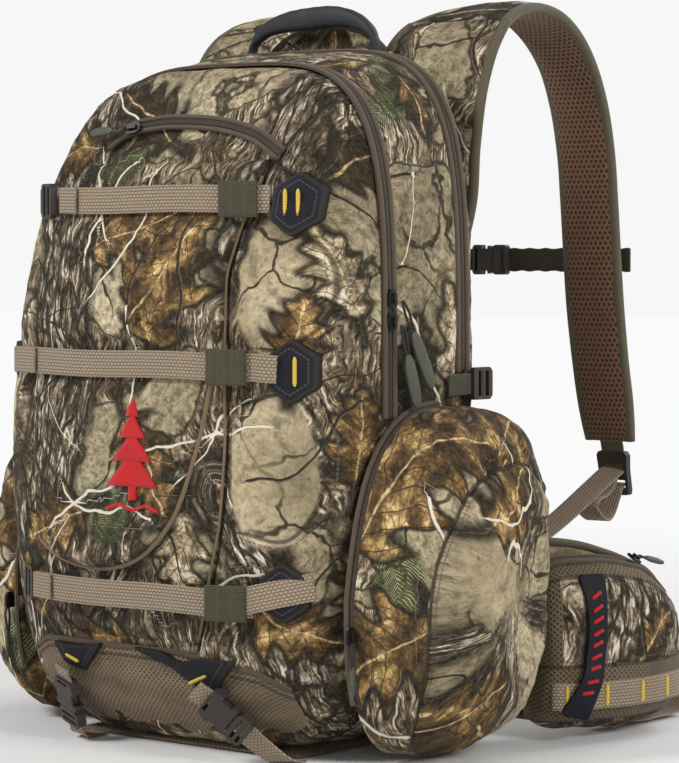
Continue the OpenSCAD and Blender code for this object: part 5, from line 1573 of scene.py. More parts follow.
def bartacks(name, rows, body="pack"):
    """short satin bars of thread: (centre, direction, normal, length)"""
    parts = []
    for c, d, n, L in rows:
        d = unit(d); n = unit(n); k = 26
        t = np.linspace(-L/2, L/2, k)
        C = np.asarray(c, float) + t[:, None] * d + np.asarray(n) * 0.15
        rad = 1.75 * np.clip(1 - np.abs(t / (L/2)) ** 12, 0.5, 1) * (1 + 0.16 * np.sin(np.arange(k) * 2.6))
        parts.append(tube_data(C, rad, 8, flat=0.75))
    ob = joined(name, parts, yellow); finish_piece(ob, body, ())
    return ob


rows = []
def on_patch(x, z, off, th):
    return np.array([x, float(yf(x, z, off)) - 1.0 - th, z]), nf(np.array(x, float), np.array(z, float), off)
for x in (125.5, 133.5):
    p, n = on_patch(x, 404, 7.5, 2.6); rows.append((p, [0, 0, 1], n, 21))
p, n = on_patch(140, 285, 7.5, 2.6); rows.append((p, [0, 0, 1], n, 21))
p, n = on_patch(58, 60, 9.5, 2.4); rows.append((p, [1, 0, 0.42], n, 20))
p, n = on_patch(-69, 65, 9.5, 2.4); rows.append((p, [1, 0, -0.35], n, 14))
bartacks("yellow_bartacks", rows)

# ------------------------------------------------------------------ boot pocket buckles
bk = [[(66, -106.5, 52), (37, 22, -37), (0.35, -0.8, -0.45)], [(-72, -106, 54), (-6, 16, -40), (-0.3, -0.85, -0.4)]]
socks = []
for i, (p, d, n) in enumerate(bk):
    p = np.array(p, float); d = np.array(d, float); n = np.array(n, float)
    M = frame_at(p + unit(n) * 7, d, n)
    body_pts = [(-9, 2), (9, 2), (12.5, 5), (14, 10), (14, 22), (12.5, 26), (-12.5, 26), (-14, 22), (-14, 10), (-12.5, 5)]
    adds = [bm_prism(body_pts, -4.4, 4.4, 1)]
    cuts = [bm_prism([(-11, 8), (11, 8), (11, 30), (-11, 30)], -2.6, 2.6, 1),
            bm_prism([(-16, 11), (-10.6, 12.5), (-10.6, 21), (-16, 22)], -6, 6, 1), bm_prism([(16, 11), (16, 22), (10.6, 21), (10.6, 12.5)], -6, 6, 1),
            bm_prism([(-7, 3.6), (7, 3.6), (7, 6.2), (-7, 6.2)], -6, 6, 1)]
    ob = solid(f"boot_socket_{i}", adds, cuts, buckle, 0.9, M)
    socks.append(ob)
    finish_piece(ob, "pack", ("boot_buckle_sockets",) if i == 0 else ())
    side = "right" if i == 0 else "left"
    head = [(-9, 26.8), (9, 26.8), (12.6, 30), (12.6, 38.6), (10, 41.4), (-10, 41.4), (-12.6, 38.6), (-12.6, 30)]
    adds = [bm_prism(head, -3.9, 3.9, 1), bm_prism([(-9.7, 10.2), (-7, 12), (-5.6, 27.4), (-9.4, 27.4)], -2.1, 2.1, 1), bm_prism([(9.7, 10.2), (9.4, 27.4), (5.6, 27.4), (7, 12)], -2.1, 2.1, 1),
            bm_prism([(-1.3, 14), (1.3, 14), (1.3, 27.4), (-1.3, 27.4)], -1.6, 1.6, 1)]
    cuts = [bm_prism([(-9.6, 31.2), (9.6, 31.2), (9.6, 33.6), (-9.6, 33.6)], -6, 6, 1), bm_prism([(-9.6, 36.4), (9.6, 36.4), (9.6, 38.8), (-9.6, 38.8)], -6, 6, 1)]
    ob = solid(f"boot_prong_{side}", adds, cuts, buckle, 0.7, M)
    finish_piece(ob, "boot_clip_" + side, ("boot_plug_" + side,))
parts = []
for i, (p, d, n) in enumerate(bk):
    p = np.array(p, float); d = unit(d); n = unit(n); s = 1 if i == 0 else -1
    M = frame_at(p + n * 7, d, n)
    Cl = np.array([[0, 2.0, -9], [0, 1.8, -5], [0, 0.8, 0], [0, 0.2, 4]])
    Cw = cr(Cl, 16) @ M[:3, :3].T + M[:3, 3]
    parts.append(ribbon_data(Cw, M[:3, 0], M[:3, 1], 19, 2, 8))
    # from the plug back under the bag
    q = M[:3, :3] @ np.array([0, 0, 39.5]) + M[:3, 3]
    xe = 114.0 if i == 0 else -86.0
    path = np.array([q, q + d * 7 + [0, 3, -2], [xe, -75, 2.2], [xe, -64, 1.6]]) if q[2] > 6 else np.array([q, [xe, -76, 2.2], [xe, -64, 1.6]])
    Cw = cr(path, 30); Cw[:, 2] = np.maximum(Cw[:, 2], 1.3)
    T = unit(np.gradient(Cw, axis=0)); wdir = unit(M[:3, 0][None] * (1 - np.linspace(0, 1, 30)[:, None]) + np.array([np.sign(M[0, 0]), 0, 0]) * np.linspace(0, 1, 30)[:, None])
    Nn = unit(np.cross(wdir, T)); wdir = unit(np.cross(T, Nn))
    parts.append(ribbon_data(Cw, wdir, Nn, 19, 1.8, 8))
ob = joined("boot_pocket_webbing", parts, taupe_web)
finish_piece(ob, "pack", ("boot_webbing",))

# ------------------------------------------------------------------ ladder locks of the compression straps
lockp = [((-96, -98.5, 408), (-0.45, -0.89, 0)), ((-147, -79, 288), (-0.78, -0.62, 0)), ((-111, -104.5, 119), (-0.5, -0.86, 0))]


def ladder(name, M, w, L, t, axis="x"):
    """webbing adjuster: frame with two slots, a raised thumb lip and teeth on the bars; length along local x, width along z"""
    h = w / 2
    out = [(-L/2, -h + 3), (-L/2 + 3, -h), (L/2 - 1.5, -h), (L/2, -h + 1.5), (L/2, h - 1.5), (L/2 - 1.5, h), (-L/2 + 3, h), (-L/2, h - 3)]
    adds = [bm_prism([(x, z) for x, z in out], -t * 0.42, t * 0.42, 1),
            bm_prism([(L/2 - 5.5, -h + 1), (L/2 + 0.0, -h + 1), (L/2 + 0.0, h - 1), (L/2 - 5.5, h - 1)], -t * 0.1, t * 0.5, 1)]
    for z in np.linspace(-h + 5, h - 5, 5):
        adds.append(bm_prism([(-2.2, z - 0.9), (1.0, z - 0.9), (1.0, z + 0.9), (-2.2, z + 0.9)], 0, t * 0.5, 1))
    cuts = [bm_prism([(-L*0.30, -h + 2.6), (-L*0.12, -h + 2.6), (-L*0.12, h - 2.6), (-L*0.30, h - 2.6)], -t, t, 1),
            bm_prism([(L*0.11, -h + 2.6), (L*0.27, -h + 2.6), (L*0.27, h - 2.6), (L*0.11, h - 2.6)], -t, t, 1)]
    return solid(name, adds, cuts, buckle, 0.7, M)


for i, ((c, n), nm) in enumerate(zip(lockp, ("top", "middle", "bottom"))):
    n = unit(n); M = frame_at(np.array(c) + n * 5, (0, 0, 1), n)
    ob = ladder("strap_lock_" + nm, M, 26, 22, 6)
    finish_piece(ob, "compression_lock_" + nm, ("compression_lock_" + nm,))

# ------------------------------------------------------------------ anchors in olive webbing
parts = []
for s in (-1, 1):
    xc = s * 80
    C = cr(np.array([[xc, 91.0, 499], [xc, 90.6, 508], [xc, 89.7, 518]]), 14)
    parts.append(ribbon_data(C, np.array([1.0, 0, 0]), np.array([0, 1.0, 0]), 24, 2.4, 8))
for c, n in lockp:
    M = frame_at(np.array(c, float), (0, 0, 1), unit(n))
    Cl = np.array([[9.0, 5.2, 0], [13, 5.2, 0], [17.5, 4.6, 0], [22.0, 4.2, 0]])
    C = cr(Cl, 14) @ M[:3, :3].T + M[:3, 3]
    parts.append(ribbon_data(C, M[:3, 2], M[:3, 1], 19, 2.0, 8))
ob = joined("anchor_loops", parts, olive_web)
finish_piece(ob, "pack", ("anchor_webbing",))

# ------------------------------------------------------------------ side compression tabs
for s, nm in ((1, "right"), (-1, "left")):
    S3 = np.array([s, 1, 1])
    C = cr(np.array([[168.6, 95, 272], [169.6, 84, 272], [170.0, 70, 272.0], [169.8, 60, 272]]), 24) * S3
    a = ribbon_data(C, np.array([0, 0, 1.0]), unit(np.cross(np.gradient(C, axis=0), [0, 0, 1.0])), 20, 2.6, 8)
    ob = joined("side_tab_" + nm, [a], rubber); finish_piece(ob, "pack", ("side_compression",) if s > 0 else ())
    C = cr(np.array([[172.2, 66, 272], [172.6, 58, 272], [172.3, 48, 271.6], [171.9, 40, 271]]), 24) * S3
    b = ribbon_data(C, np.array([0, 0, 1.0]), unit(np.cross(np.gradient(C, axis=0), [0, 0, 1.0])), 16, 1.8, 8)
    ob = joined("side_webbing_" + nm, [b], olive_web); finish_piece(ob, "pack", ())
    M = frame_at(np.array([173.6, 78, 272]) * S3, (0, 0, 1), (s, 0, 0))
    ob = ladder("side_triglide_" + nm, M, 24, 23, 4.4)
    finish_piece(ob, "pack", ())

# ------------------------------------------------------------------ haul handle
hh = np.array([(-66, 519), (-65, 531), (-54, 543), (-34, 551.5), (-5, 556), (23, 555), (45, 547), (58, 536), (64, 519)], float)
hc = cr(hh, 110)
C = np.stack([hc[:, 0], np.full(len(hc), 91.5), hc[:, 1]], 1)
T = unit(np.gradient(C, axis=0)); Nn = unit(np.cross(T, [0, 1.0, 0])); Nn *= np.sign((Nn * (C - [0, 91.5, 500])).sum(1).mean())
s = np.linspace(0, 1, len(hc))
bump_ = np.sin(np.pi * np.clip((s - 0.10) / 0.80, 0, 1)) ** 0.7
w = 9.0 + 3.4 * bump_; t = 5.0 + 12.5 * bump_; C = C - Nn * (0.5 * (t - 9.0) * bump_)[:, None]
rib = 1 + 0.012 * np.sin(s * 90)
R = []
for i in range(len(hc)):
    a = np.linspace(0, 2 * math.pi, 21)[:-1]
    px_ = np.sign(np.cos(a)) * np.abs(np.cos(a)) ** 0.7 * w[i] / 2 * rib[i]; pn = np.sign(np.sin(a)) * np.abs(np.sin(a)) ** 0.8 * t[i] / 2 * rib[i]
    R.append(C[i] + px_[:, None] * np.array([0, 1.0, 0]) + pn[:, None] * Nn[i])
V, F, U, uvv = loft_data(np.array(R))
ob = build("carry_handle", V, F, handle_rub, U)
finish_piece(ob, "handle", ("haul_handle",))
# crest of the back panel behind the handle
xs = np.linspace(-63, 63, 80)[None, :]; v = np.linspace(0, 1, 22)[:, None]
zt_ = 518 + 27 * np.clip(1 - (np.abs(xs) / 63.5) ** 2.4, 0, 1) ** 0.75; X = xs + 0 * v; Z = 500 + (zt_ - 500) * v
Y = 103.6 - 1.5 * np.sin(np.pi * v) + 0.7 * wrinkle(np.stack([X, 0 * X, Z], -1), 22, 61)
F_ = np.stack([X, Y, Z], -1); B_ = np.stack([X, Y + 4.5, Z], -1)
R = np.concatenate([F_, B_[::-1]], 0).transpose(1, 0, 2)
V, F, U, uvv = loft_data(R)
ob = build("back_panel_crest", V, F, camo, U, camo_attrs(cut(uvv, 30, (-150, 380))))
finish_piece(ob, "pack", ())
C = np.stack([xs[0], np.full(80, 105.6), zt_[0]], 1); C = cr(C[::4], 90)
ob = joined("back_panel_crest_binding", [tube_data(C, 2.6, 10)], olive_bind)
finish_piece(ob, "pack", ())
bartacks("handle_bartacks", [((76, 92.4, 509), (0.1, 0, 1), (0, 1, 0), 13), ((-76, 92.4, 509), (0.1, 0, 1), (0, 1, 0), 13), ((76, 89.0, 519.4), (0, 0.6, 1), (0, -1, 0.2), 7)], "pack")

# ------------------------------------------------------------------ yoke and shoulder straps
yoke_s = np.array([[78, 128, 99.2, 350], [72, 141, 100.4, 376], [64, 148, 102.4, 404], [54, 150, 105, 450], [46, 152, 113, 498], [44, 152, 126, 526], [46, 151, 136, 538]], float)
strap_s = np.array([[50, 149, 143, 544], [62, 147, 158, 552], [72, 145, 176, 557.5], [79, 142, 200, 559], [84, 141, 226, 554], [86, 141, 248, 541], [88, 141, 268, 519],
                    [88, 141, 283, 490], [88, 141, 294, 450], [88, 141, 299, 410], [88, 141, 303, 370], [88, 141, 308, 325], [89, 141, 315, 280], [90, 141, 322, 245], [93, 139, 328, 215]], float)


def band_shape(S, t, n, mx=30, puff=1.0, inset=7.0, seed=0, taper_a=0.0, taper_b=1.0):
    """padded band across X from stations [x1, x2, y, z]: outer face, inner face and the two edges"""
    Q = cr(S, n, key=[2, 3])
    C = np.stack([(Q[:, 0] + Q[:, 1]) / 2, Q[:, 2], Q[:, 3]], 1)
    D = unit(np.gradient(Q[:, 2:4], axis=0)); nrm = np.stack([np.zeros(n), -D[:, 1], D[:, 0]], 1)
    hw = (Q[:, 1] - Q[:, 0]) / 2
    u = np.linspace(-1, 1, mx)
    prof = np.sqrt(np.clip(1 - np.abs(u) ** 7, 0, 1)) * (0.62 + 0.38 * (1 - np.abs(u) ** 2.6))
    s = np.linspace(0, 1, n)
    endf = np.ones(n)
    if taper_a: endf *= 0.35 + 0.65 * sm(s, 0, taper_a)
    if taper_b < 1: endf *= 0.35 + 0.65 * (1 - sm(s, taper_b, 1))
    return Q, C, nrm, hw, u, prof, endf


def strap_piece(side):
    sx = 1 if side == "right" else -1
    n, mx = 230, 34
    Q, C, nrm, hw, u, prof, endf = band_shape(strap_s, 11, n, mx, taper_b=0.97)
    rows = []
    for i in range(n):
        h = 5.5 * prof * endf[i]
        top = C[i] + np.stack([u * hw[i], 0 * u, 0 * u], 1) + h[:, None] * nrm[i]
        bot = C[i] + np.stack([u[::-1] * hw[i], 0 * u, 0 * u], 1) - h[::-1, None] * nrm[i]
        rows.append(np.concatenate([top, bot[1:-1]]))
    P = np.array(rows)
    N = gnorm(P, unit(P - C[:, None]), True)
    P = P + N * (0.8 * wrinkle(P, 26, 120, (1, 1, 1)) * 0.8)[..., None]
    m = P.shape[1]
    V, F, U, uvv = loft_data(P)
    A = camo_attrs(cut(uvv, 3, (-330 if sx > 0 else 120, -420)))
    # which side of the band each face is on: outer = camouflage, inner (towards the bag) = mesh
    q = F[0]; col = q[:, 0] % m
    outer_is_top = (nrm[n // 2] @ np.array([0, 1.0, 0])) > 0
    top = col < mx - 1
    fm = np.where(top == outer_is_top, 0, 1)
    fm = np.concatenate([fm, np.zeros(len(F[1]) + len(F[2]), int)])
    if sx < 0:
        V = V * [-1, 1, 1]; F = [f[:, ::-1] for f in F]; U = [x[:, ::-1] for x in U]
    ob = build("strap_body_" + side, V, F, [camo, spacer], U, A, fm)
    finish_piece(ob, None, ("shoulder_strap_" + side,), bl=("pack", "harness", W((0, 134, 538)), W((0, 176, 556))))
    # bound edges
    parts = []
    for e in (-1, 1):
        Ce = C + np.stack([e * (hw - 1.2), 0 * hw, 0 * hw], 1)
        R = []
        a = np.linspace(0, 2 * math.pi, 17)[:-1]
        for i in range(n):
            pw = np.sign(np.cos(a)) * np.abs(np.cos(a)) ** 0.8 * 4.6 - e * 2.2; pn = np.sign(np.sin(a)) * np.abs(np.sin(a)) ** 0.7 * (3.9 * (0.55 + 0.45 * endf[i]))
            R.append(Ce[i] + pw[:, None] * np.array([1.0, 0, 0]) + pn[:, None] * nrm[i])
        V, F, U, uvv = loft_data(np.array(R)); V = V * [sx, 1, 1]
        parts.append((V, F, U, None))
    ob = joined("strap_binding_" + side, parts, olive_bind)
    finish_piece(ob, None, (), bl=("pack", "harness", W((0, 134, 538)), W((0, 176, 556))))


strap_piece("right"); strap_piece("left")


def yoke_piece():
    parts = []; bind = []
    for sx in (1, -1):
        n, mx = 90, 44
        S = np.vstack([yoke_s, [[48, 150, 141.5, 543]], [[49.5, 149.2, 146.0, 546.0]]])
        Q, C, nrm, hw, u, prof, endf = band_shape(S, 8, n, mx, taper_a=0.06)
        rows = []
        for i in range(n):
            h = 4.0 * prof * endf[i]
            top = C[i] + np.stack([u * hw[i], 0 * u, 0 * u], 1) + h[:, None] * nrm[i]
            bot = C[i] + np.stack([u[::-1] * hw[i], 0 * u, 0 * u], 1) - h[::-1, None] * nrm[i]
            rows.append(np.concatenate([top, bot[1:-1]]))
        P = np.array(rows); N = gnorm(P, unit(P - C[:, None]), True)
        P = P + N * (1.1 * wrinkle(P, 30, 130 + sx) * 0.8)[..., None]
        V, F, U, uvv = loft_data(P)
        A = camo_attrs(cut(uvv, 8, (-60 if sx > 0 else 260, 150)))
        V = V * [sx, 1, 1]
        if sx < 0: F = [f[:, ::-1] for f in F]; U = [x[:, ::-1] for x in U]
        parts.append((V, F, U, A))
        for e in (-1, 1):
            Ce = C + np.stack([e * (hw - 1.0), 0 * hw, 0 * hw], 1)
            a = np.linspace(0, 2 * math.pi, 17)[:-1]; R = []
            for i in range(n):
                pw = np.cos(a) * 4.4 - e * 2.0; pn = np.sin(a) * 3.4 * (0.6 + 0.4 * endf[i])
                R.append(Ce[i] + pw[:, None] * np.array([1.0, 0, 0]) + pn[:, None] * nrm[i])
            V, F, U, uvv = loft_data(np.array(R)); bind.append((V * [sx, 1, 1], F, U, None))
    # cross piece
    xs = np.linspace(-56, 56, 50)[None, :]; zs = np.linspace(446, 500, 26)[:, None]
    X = xs + 0 * zs; Z = zs + 0 * xs
    Y = 101.4 + 2.4 * np.sqrt(np.clip(1 - (np.abs(Z - 473) / 27) ** 6, 0, 1)) + 0.4 * wrinkle(np.stack([X, 0 * X, Z], -1), 22, 140)
    V, F, U, uvv = sheet_data(np.stack([X, Y, Z], -1), np.array([0, 98.4, 473]))
    parts.append((V, F, U, camo_attrs(cut(uvv, 0, (100, -100)))))
    ob = joined("yoke_cloth", parts, camo)
    finish_piece(ob, "pack", ("shoulder_yoke",))
    ob = joined("yoke_binding", bind, olive_bind)
    finish_piece(ob, "pack", ())


yoke_piece()


# ------------------------------------------------------------------ straps below the shoulders
low_s = np.array([[92, 118, 99.5, 84], [96, 122, 140, 104], [100, 126, 200, 134], [103, 129, 260, 160], [105, 129, 312, 183], [105.6, 128.4, 326, 189], [105.8, 128.2, 334.6, 192.5]], float)
for sx, nm in ((1, "right"), (-1, "left")):
    Q = cr(low_s, 60, key=[2, 3])
    C = np.stack([(Q[:, 0] + Q[:, 1]) / 2, Q[:, 2], Q[:, 3]], 1)
    C[:, 2] -= 6.0 * np.sin(np.pi * np.linspace(0, 1, 60)) ** 1.5 * np.linspace(0.3, 1, 60)
    T = unit(np.gradient(C, axis=0)); side = unit(np.array([1.0, 0.04, -0.10]) - T * (T @ np.array([1.0, 0.04, -0.10]))[:, None]); Nn = unit(np.cross(side, T))
    a = ribbon_data(C, side, Nn, 23, 1.8, 8)
    # free tail of the adjuster folded back on itself, held by the lock
    tail = cr(np.array([[117, 337, 179.5], [117, 332, 178], [118, 324, 168], [121, 312, 156], [124, 300, 152], [125, 290, 156], [124, 284, 163], [122, 290, 169], [120, 302, 171], [118, 314, 176], [117, 322, 184]], float), 60)
    T = unit(np.gradient(tail, axis=0)); sd_ = unit(np.array([1.0, 0.1, 0.0]) - T * (T @ np.array([1.0, 0.1, 0.0]))[:, None]); Nn = unit(np.cross(sd_, T))
    b = ribbon_data(tail, sd_, Nn, 21, 1.7, 8)
    for p in (a, b): p[0][:, 0] *= sx
    ob = joined("lower_strap_" + nm, [a], taupe_web)
    finish_piece(ob, None, ("lower_webbing",) if sx > 0 else (), bl=("pack", "harness", W((0, 104, 88)), W((0, 300, 176))))
    ob = joined("lower_strap_tail_" + nm, [b], taupe_web)
    finish_piece(ob, "harness", ())
    # ladder lock hanging from the strap's tip
    M = np.eye(4); r = math.radians(8)
    R = np.array([[1, 0, 0], [0, math.cos(r), -math.sin(r)], [0, math.sin(r), math.cos(r)]])
    M[:3, :3] = R; M[:3, 3] = (117, 331, 203)
    out = [(-13, 3), (13, 3), (15, 0), (14, -12), (14.6, -30), (12, -33), (-12, -33), (-14.6, -30), (-14, -12), (-15, 0)]
    adds = [bm_prism(out, -2.9, 2.9, 1), bm_prism([(-13.5, -33), (13.5, -33), (13.5, -28.4), (-13.5, -28.4)], -1.0, 3.6, 1)]
    for x in np.linspace(-9, 9, 5): adds.append(bm_prism([(x - 0.9, -18.4), (x + 0.9, -18.4), (x + 0.9, -15.4), (x - 0.9, -15.4)], 0, 3.3, 1))
    cuts = [bm_prism([(-11.6, -27.6), (11.6, -27.6), (11.6, -20.4), (-11.6, -20.4)], -8, 8, 1), bm_prism([(-11.6, -13.6), (11.6, -13.6), (11.6, -6.4), (-11.6, -6.4)], -8, 8, 1)]
    if sx < 0: M = np.diag([-1.0, 1, 1, 1]) @ M
    ob = solid("ladder_lock_" + nm, adds, cuts, buckle, 0.8, M)
    if sx < 0:
        ob.data.flip_normals()
    finish_piece(ob, "strap_lock_" + nm, ("strap_lock_" + nm,))
    # tab that sews the lock under the strap
    C = cr(np.array([[116, 327.5, 219], [117, 329.6, 210], [117, 331.2, 200], [117, 332.6, 191]], float), 20) * [sx, 1, 1]
    ob = joined("lock_tab_" + nm, [ribbon_data(C, np.array([1.0, 0, 0]), unit(np.cross([1.0, 0, 0], np.gradient(C, axis=0))), 22, 2.2, 6)], olive_bind)
    finish_piece(ob, "harness", ())

# ------------------------------------------------------------------ sternum strap
parts = []
for x0, x1, yc in ((14, 138, 324.0), (-138, -14, 319.0)):
    xs = np.linspace(x0, x1, 90)
    C = np.stack([xs, yc + 0.5 * np.sin(xs / 3.2), 363 + 0 * xs], 1)
    w = 19 + 0.9 * np.sin(xs / 2.6)
    parts.append(ribbon_data(C, np.array([0, 0, 1.0]), np.array([0, 1.0, 0]), w, 1.7, 8))
for x0, x1, yc in ((26, 64, 326.4), (-64, -26, 321.4)):
    xs = np.linspace(x0, x1, 30); C = np.stack([xs, np.full(30, yc), np.full(30, 363.0)], 1)
    parts.append(ribbon_data(C, np.array([0, 0, 1.0]), np.array([0, 1.0, 0]), 18.4, 1.5, 8))
ob = joined("sternum_elastic_webbing", parts, sternum_web)
finish_piece(ob, "sternum", ("sternum_webbing",))


def srb(prefix, c, body_a, body_b, node_a, node_b, half, sgn=1, depth=7.0, zmid=0.0, length=20.0, prong=11.0):
    """side-release buckle lying along X: socket on the -X side, plug on the +X side; c is the meeting plane"""
    h = half; t = depth / 2
    sock = [(-length, -h + 2), (-length + 2, -h), (-6, -h), (0, -h + 2.2), (0, h - 2.2), (-6, h), (-length + 2, h), (-length, h - 2)]
    adds = [bm_prism(sock, -t, t, 1)]
    cuts = [bm_prism([(-prong - 2, -h + 3), (2, -h + 3), (2, h - 3), (-prong - 2, h - 3)], -t + 1.6, t - 1.6, 1),
            bm_prism([(-prong, h - 3.4), (-prong + 6, h - 3.4), (-prong + 7.5, h + 2), (-prong - 1, h + 2)], -t - 1, t + 1, 1),
            bm_prism([(-prong, -h + 3.4), (-prong - 1, -h - 2), (-prong + 7.5, -h - 2), (-prong + 6, -h + 3.4)], -t - 1, t + 1, 1),
            bm_prism([(-length + 2.4, -h + 3), (-length + 5.4, -h + 3), (-length + 5.4, h - 3), (-length + 2.4, h - 3)], -t - 1, t + 1, 1)]
    M = np.eye(4); M[:3, 3] = c
    ob = solid(prefix + "_socket", adds, cuts, buckle, 0.7, M)
    finish_piece(ob, body_a, (node_a,))
    head = [(0.5, -h + 1.5), (3, -h), (13, -h), (14.6, -h + 1.6), (14.6, h - 1.6), (13, h), (3, h), (0.5, h - 1.5)]
    pr = [(-prong, h - 6.4), (-prong + 3, h - 3.6), (1.5, h - 4.4), (1.5, h - 8.0), (-prong + 2, h - 8.2)]
    adds = [bm_prism(head, -t * 0.85, t * 0.85, 1), bm_prism(pr, -1.4, 1.4, 1), bm_prism([(x, -z) for x, z in pr], -1.4, 1.4, 1)]
    cuts = [bm_prism([(3.4, -h + 2.6), (5.8, -h + 2.6), (5.8, h - 2.6), (3.4, h - 2.6)], -8, 8, 1), bm_prism([(9.4, -h + 2.6), (11.8, -h + 2.6), (11.8, h - 2.6), (9.4, h - 2.6)], -8, 8, 1)]
    ob = solid(prefix + "_plug", adds, cuts, buckle, 0.6, M)
    finish_piece(ob, body_b, (node_b,))


srb("sternum_clip", (3, 319, 363), "sternum", "sternum_clip", "sternum_socket", "sternum_plug", 12.5, length=20.4)

# ------------------------------------------------------------------ hip wings
wing = np.array([[140, 106], [158, 122], [176, 142], [190, 166], [197, 194], [199, 224], [197, 254], [190, 284], [182, 302]], float)
wing_hi = [150, 150, 150, 147, 139, 129, 117, 92, 74]; wing_lo = [24, 20, 16, 14, 14, 16, 20, 28, 36]
pouch = np.array([[168, 132, 18, 124, 15.5, 12], [176, 142, 11, 134, 15.5, 26], [190, 166, 8, 138, 15.5, 30], [197, 194, 7, 134, 15.5, 31], [199, 220, 8, 125, 15.5, 29], [198, 245, 12, 106, 15.5, 22], [193, 265, 20, 88, 15.5, 9]], float)


def path_sample(S, n):
    Q = cr(S, n, key=[0, 1])
    T = unit(np.gradient(Q[:, :2], axis=0)); Nn = np.stack([T[:, 1], -T[:, 0]], 1)
    return Q, Nn


def upright(S, n, m, depth_fn, seed, wr=1.0, inner=0.0):
    """padded wall along a path: rings of m points round each upright section"""
    Q, Nn = path_sample(S, n)
    rows = []
    k = m // 2
    for i in range(n):
        lo, hi, o, t = Q[i, 2], Q[i, 3], Q[i, 4], Q[i, 5]
        v = np.cos(np.linspace(math.pi, 0, k)) * 0.55 + np.linspace(-1, 1, k) * 0.45
        f = depth_fn(v, i / (n - 1))
        z = (lo + hi) / 2 + v * (hi - lo) / 2
        outp = o + t * f
        front = np.stack([Q[i, 0] + Nn[i, 0] * outp, Q[i, 1] + Nn[i, 1] * outp, z], 1)
        back = np.stack([Q[i, 0] + Nn[i, 0] * (o + inner * t * (1 - np.abs(v) ** 6)), Q[i, 1] + Nn[i, 1] * (o + inner * t * (1 - np.abs(v) ** 6)), z], 1)[::-1]
        rows.append(np.concatenate([front, back[1:-1]]))
    P = np.array(rows)
    N = gnorm(P, unit(P - P.mean(1, keepdims=True)), True)
    P = P + N * (wr * wrinkle(P, 30, seed) + 0.4 * wr * wrinkle(P, 13, seed + 1))[..., None]
    return Q, Nn, P


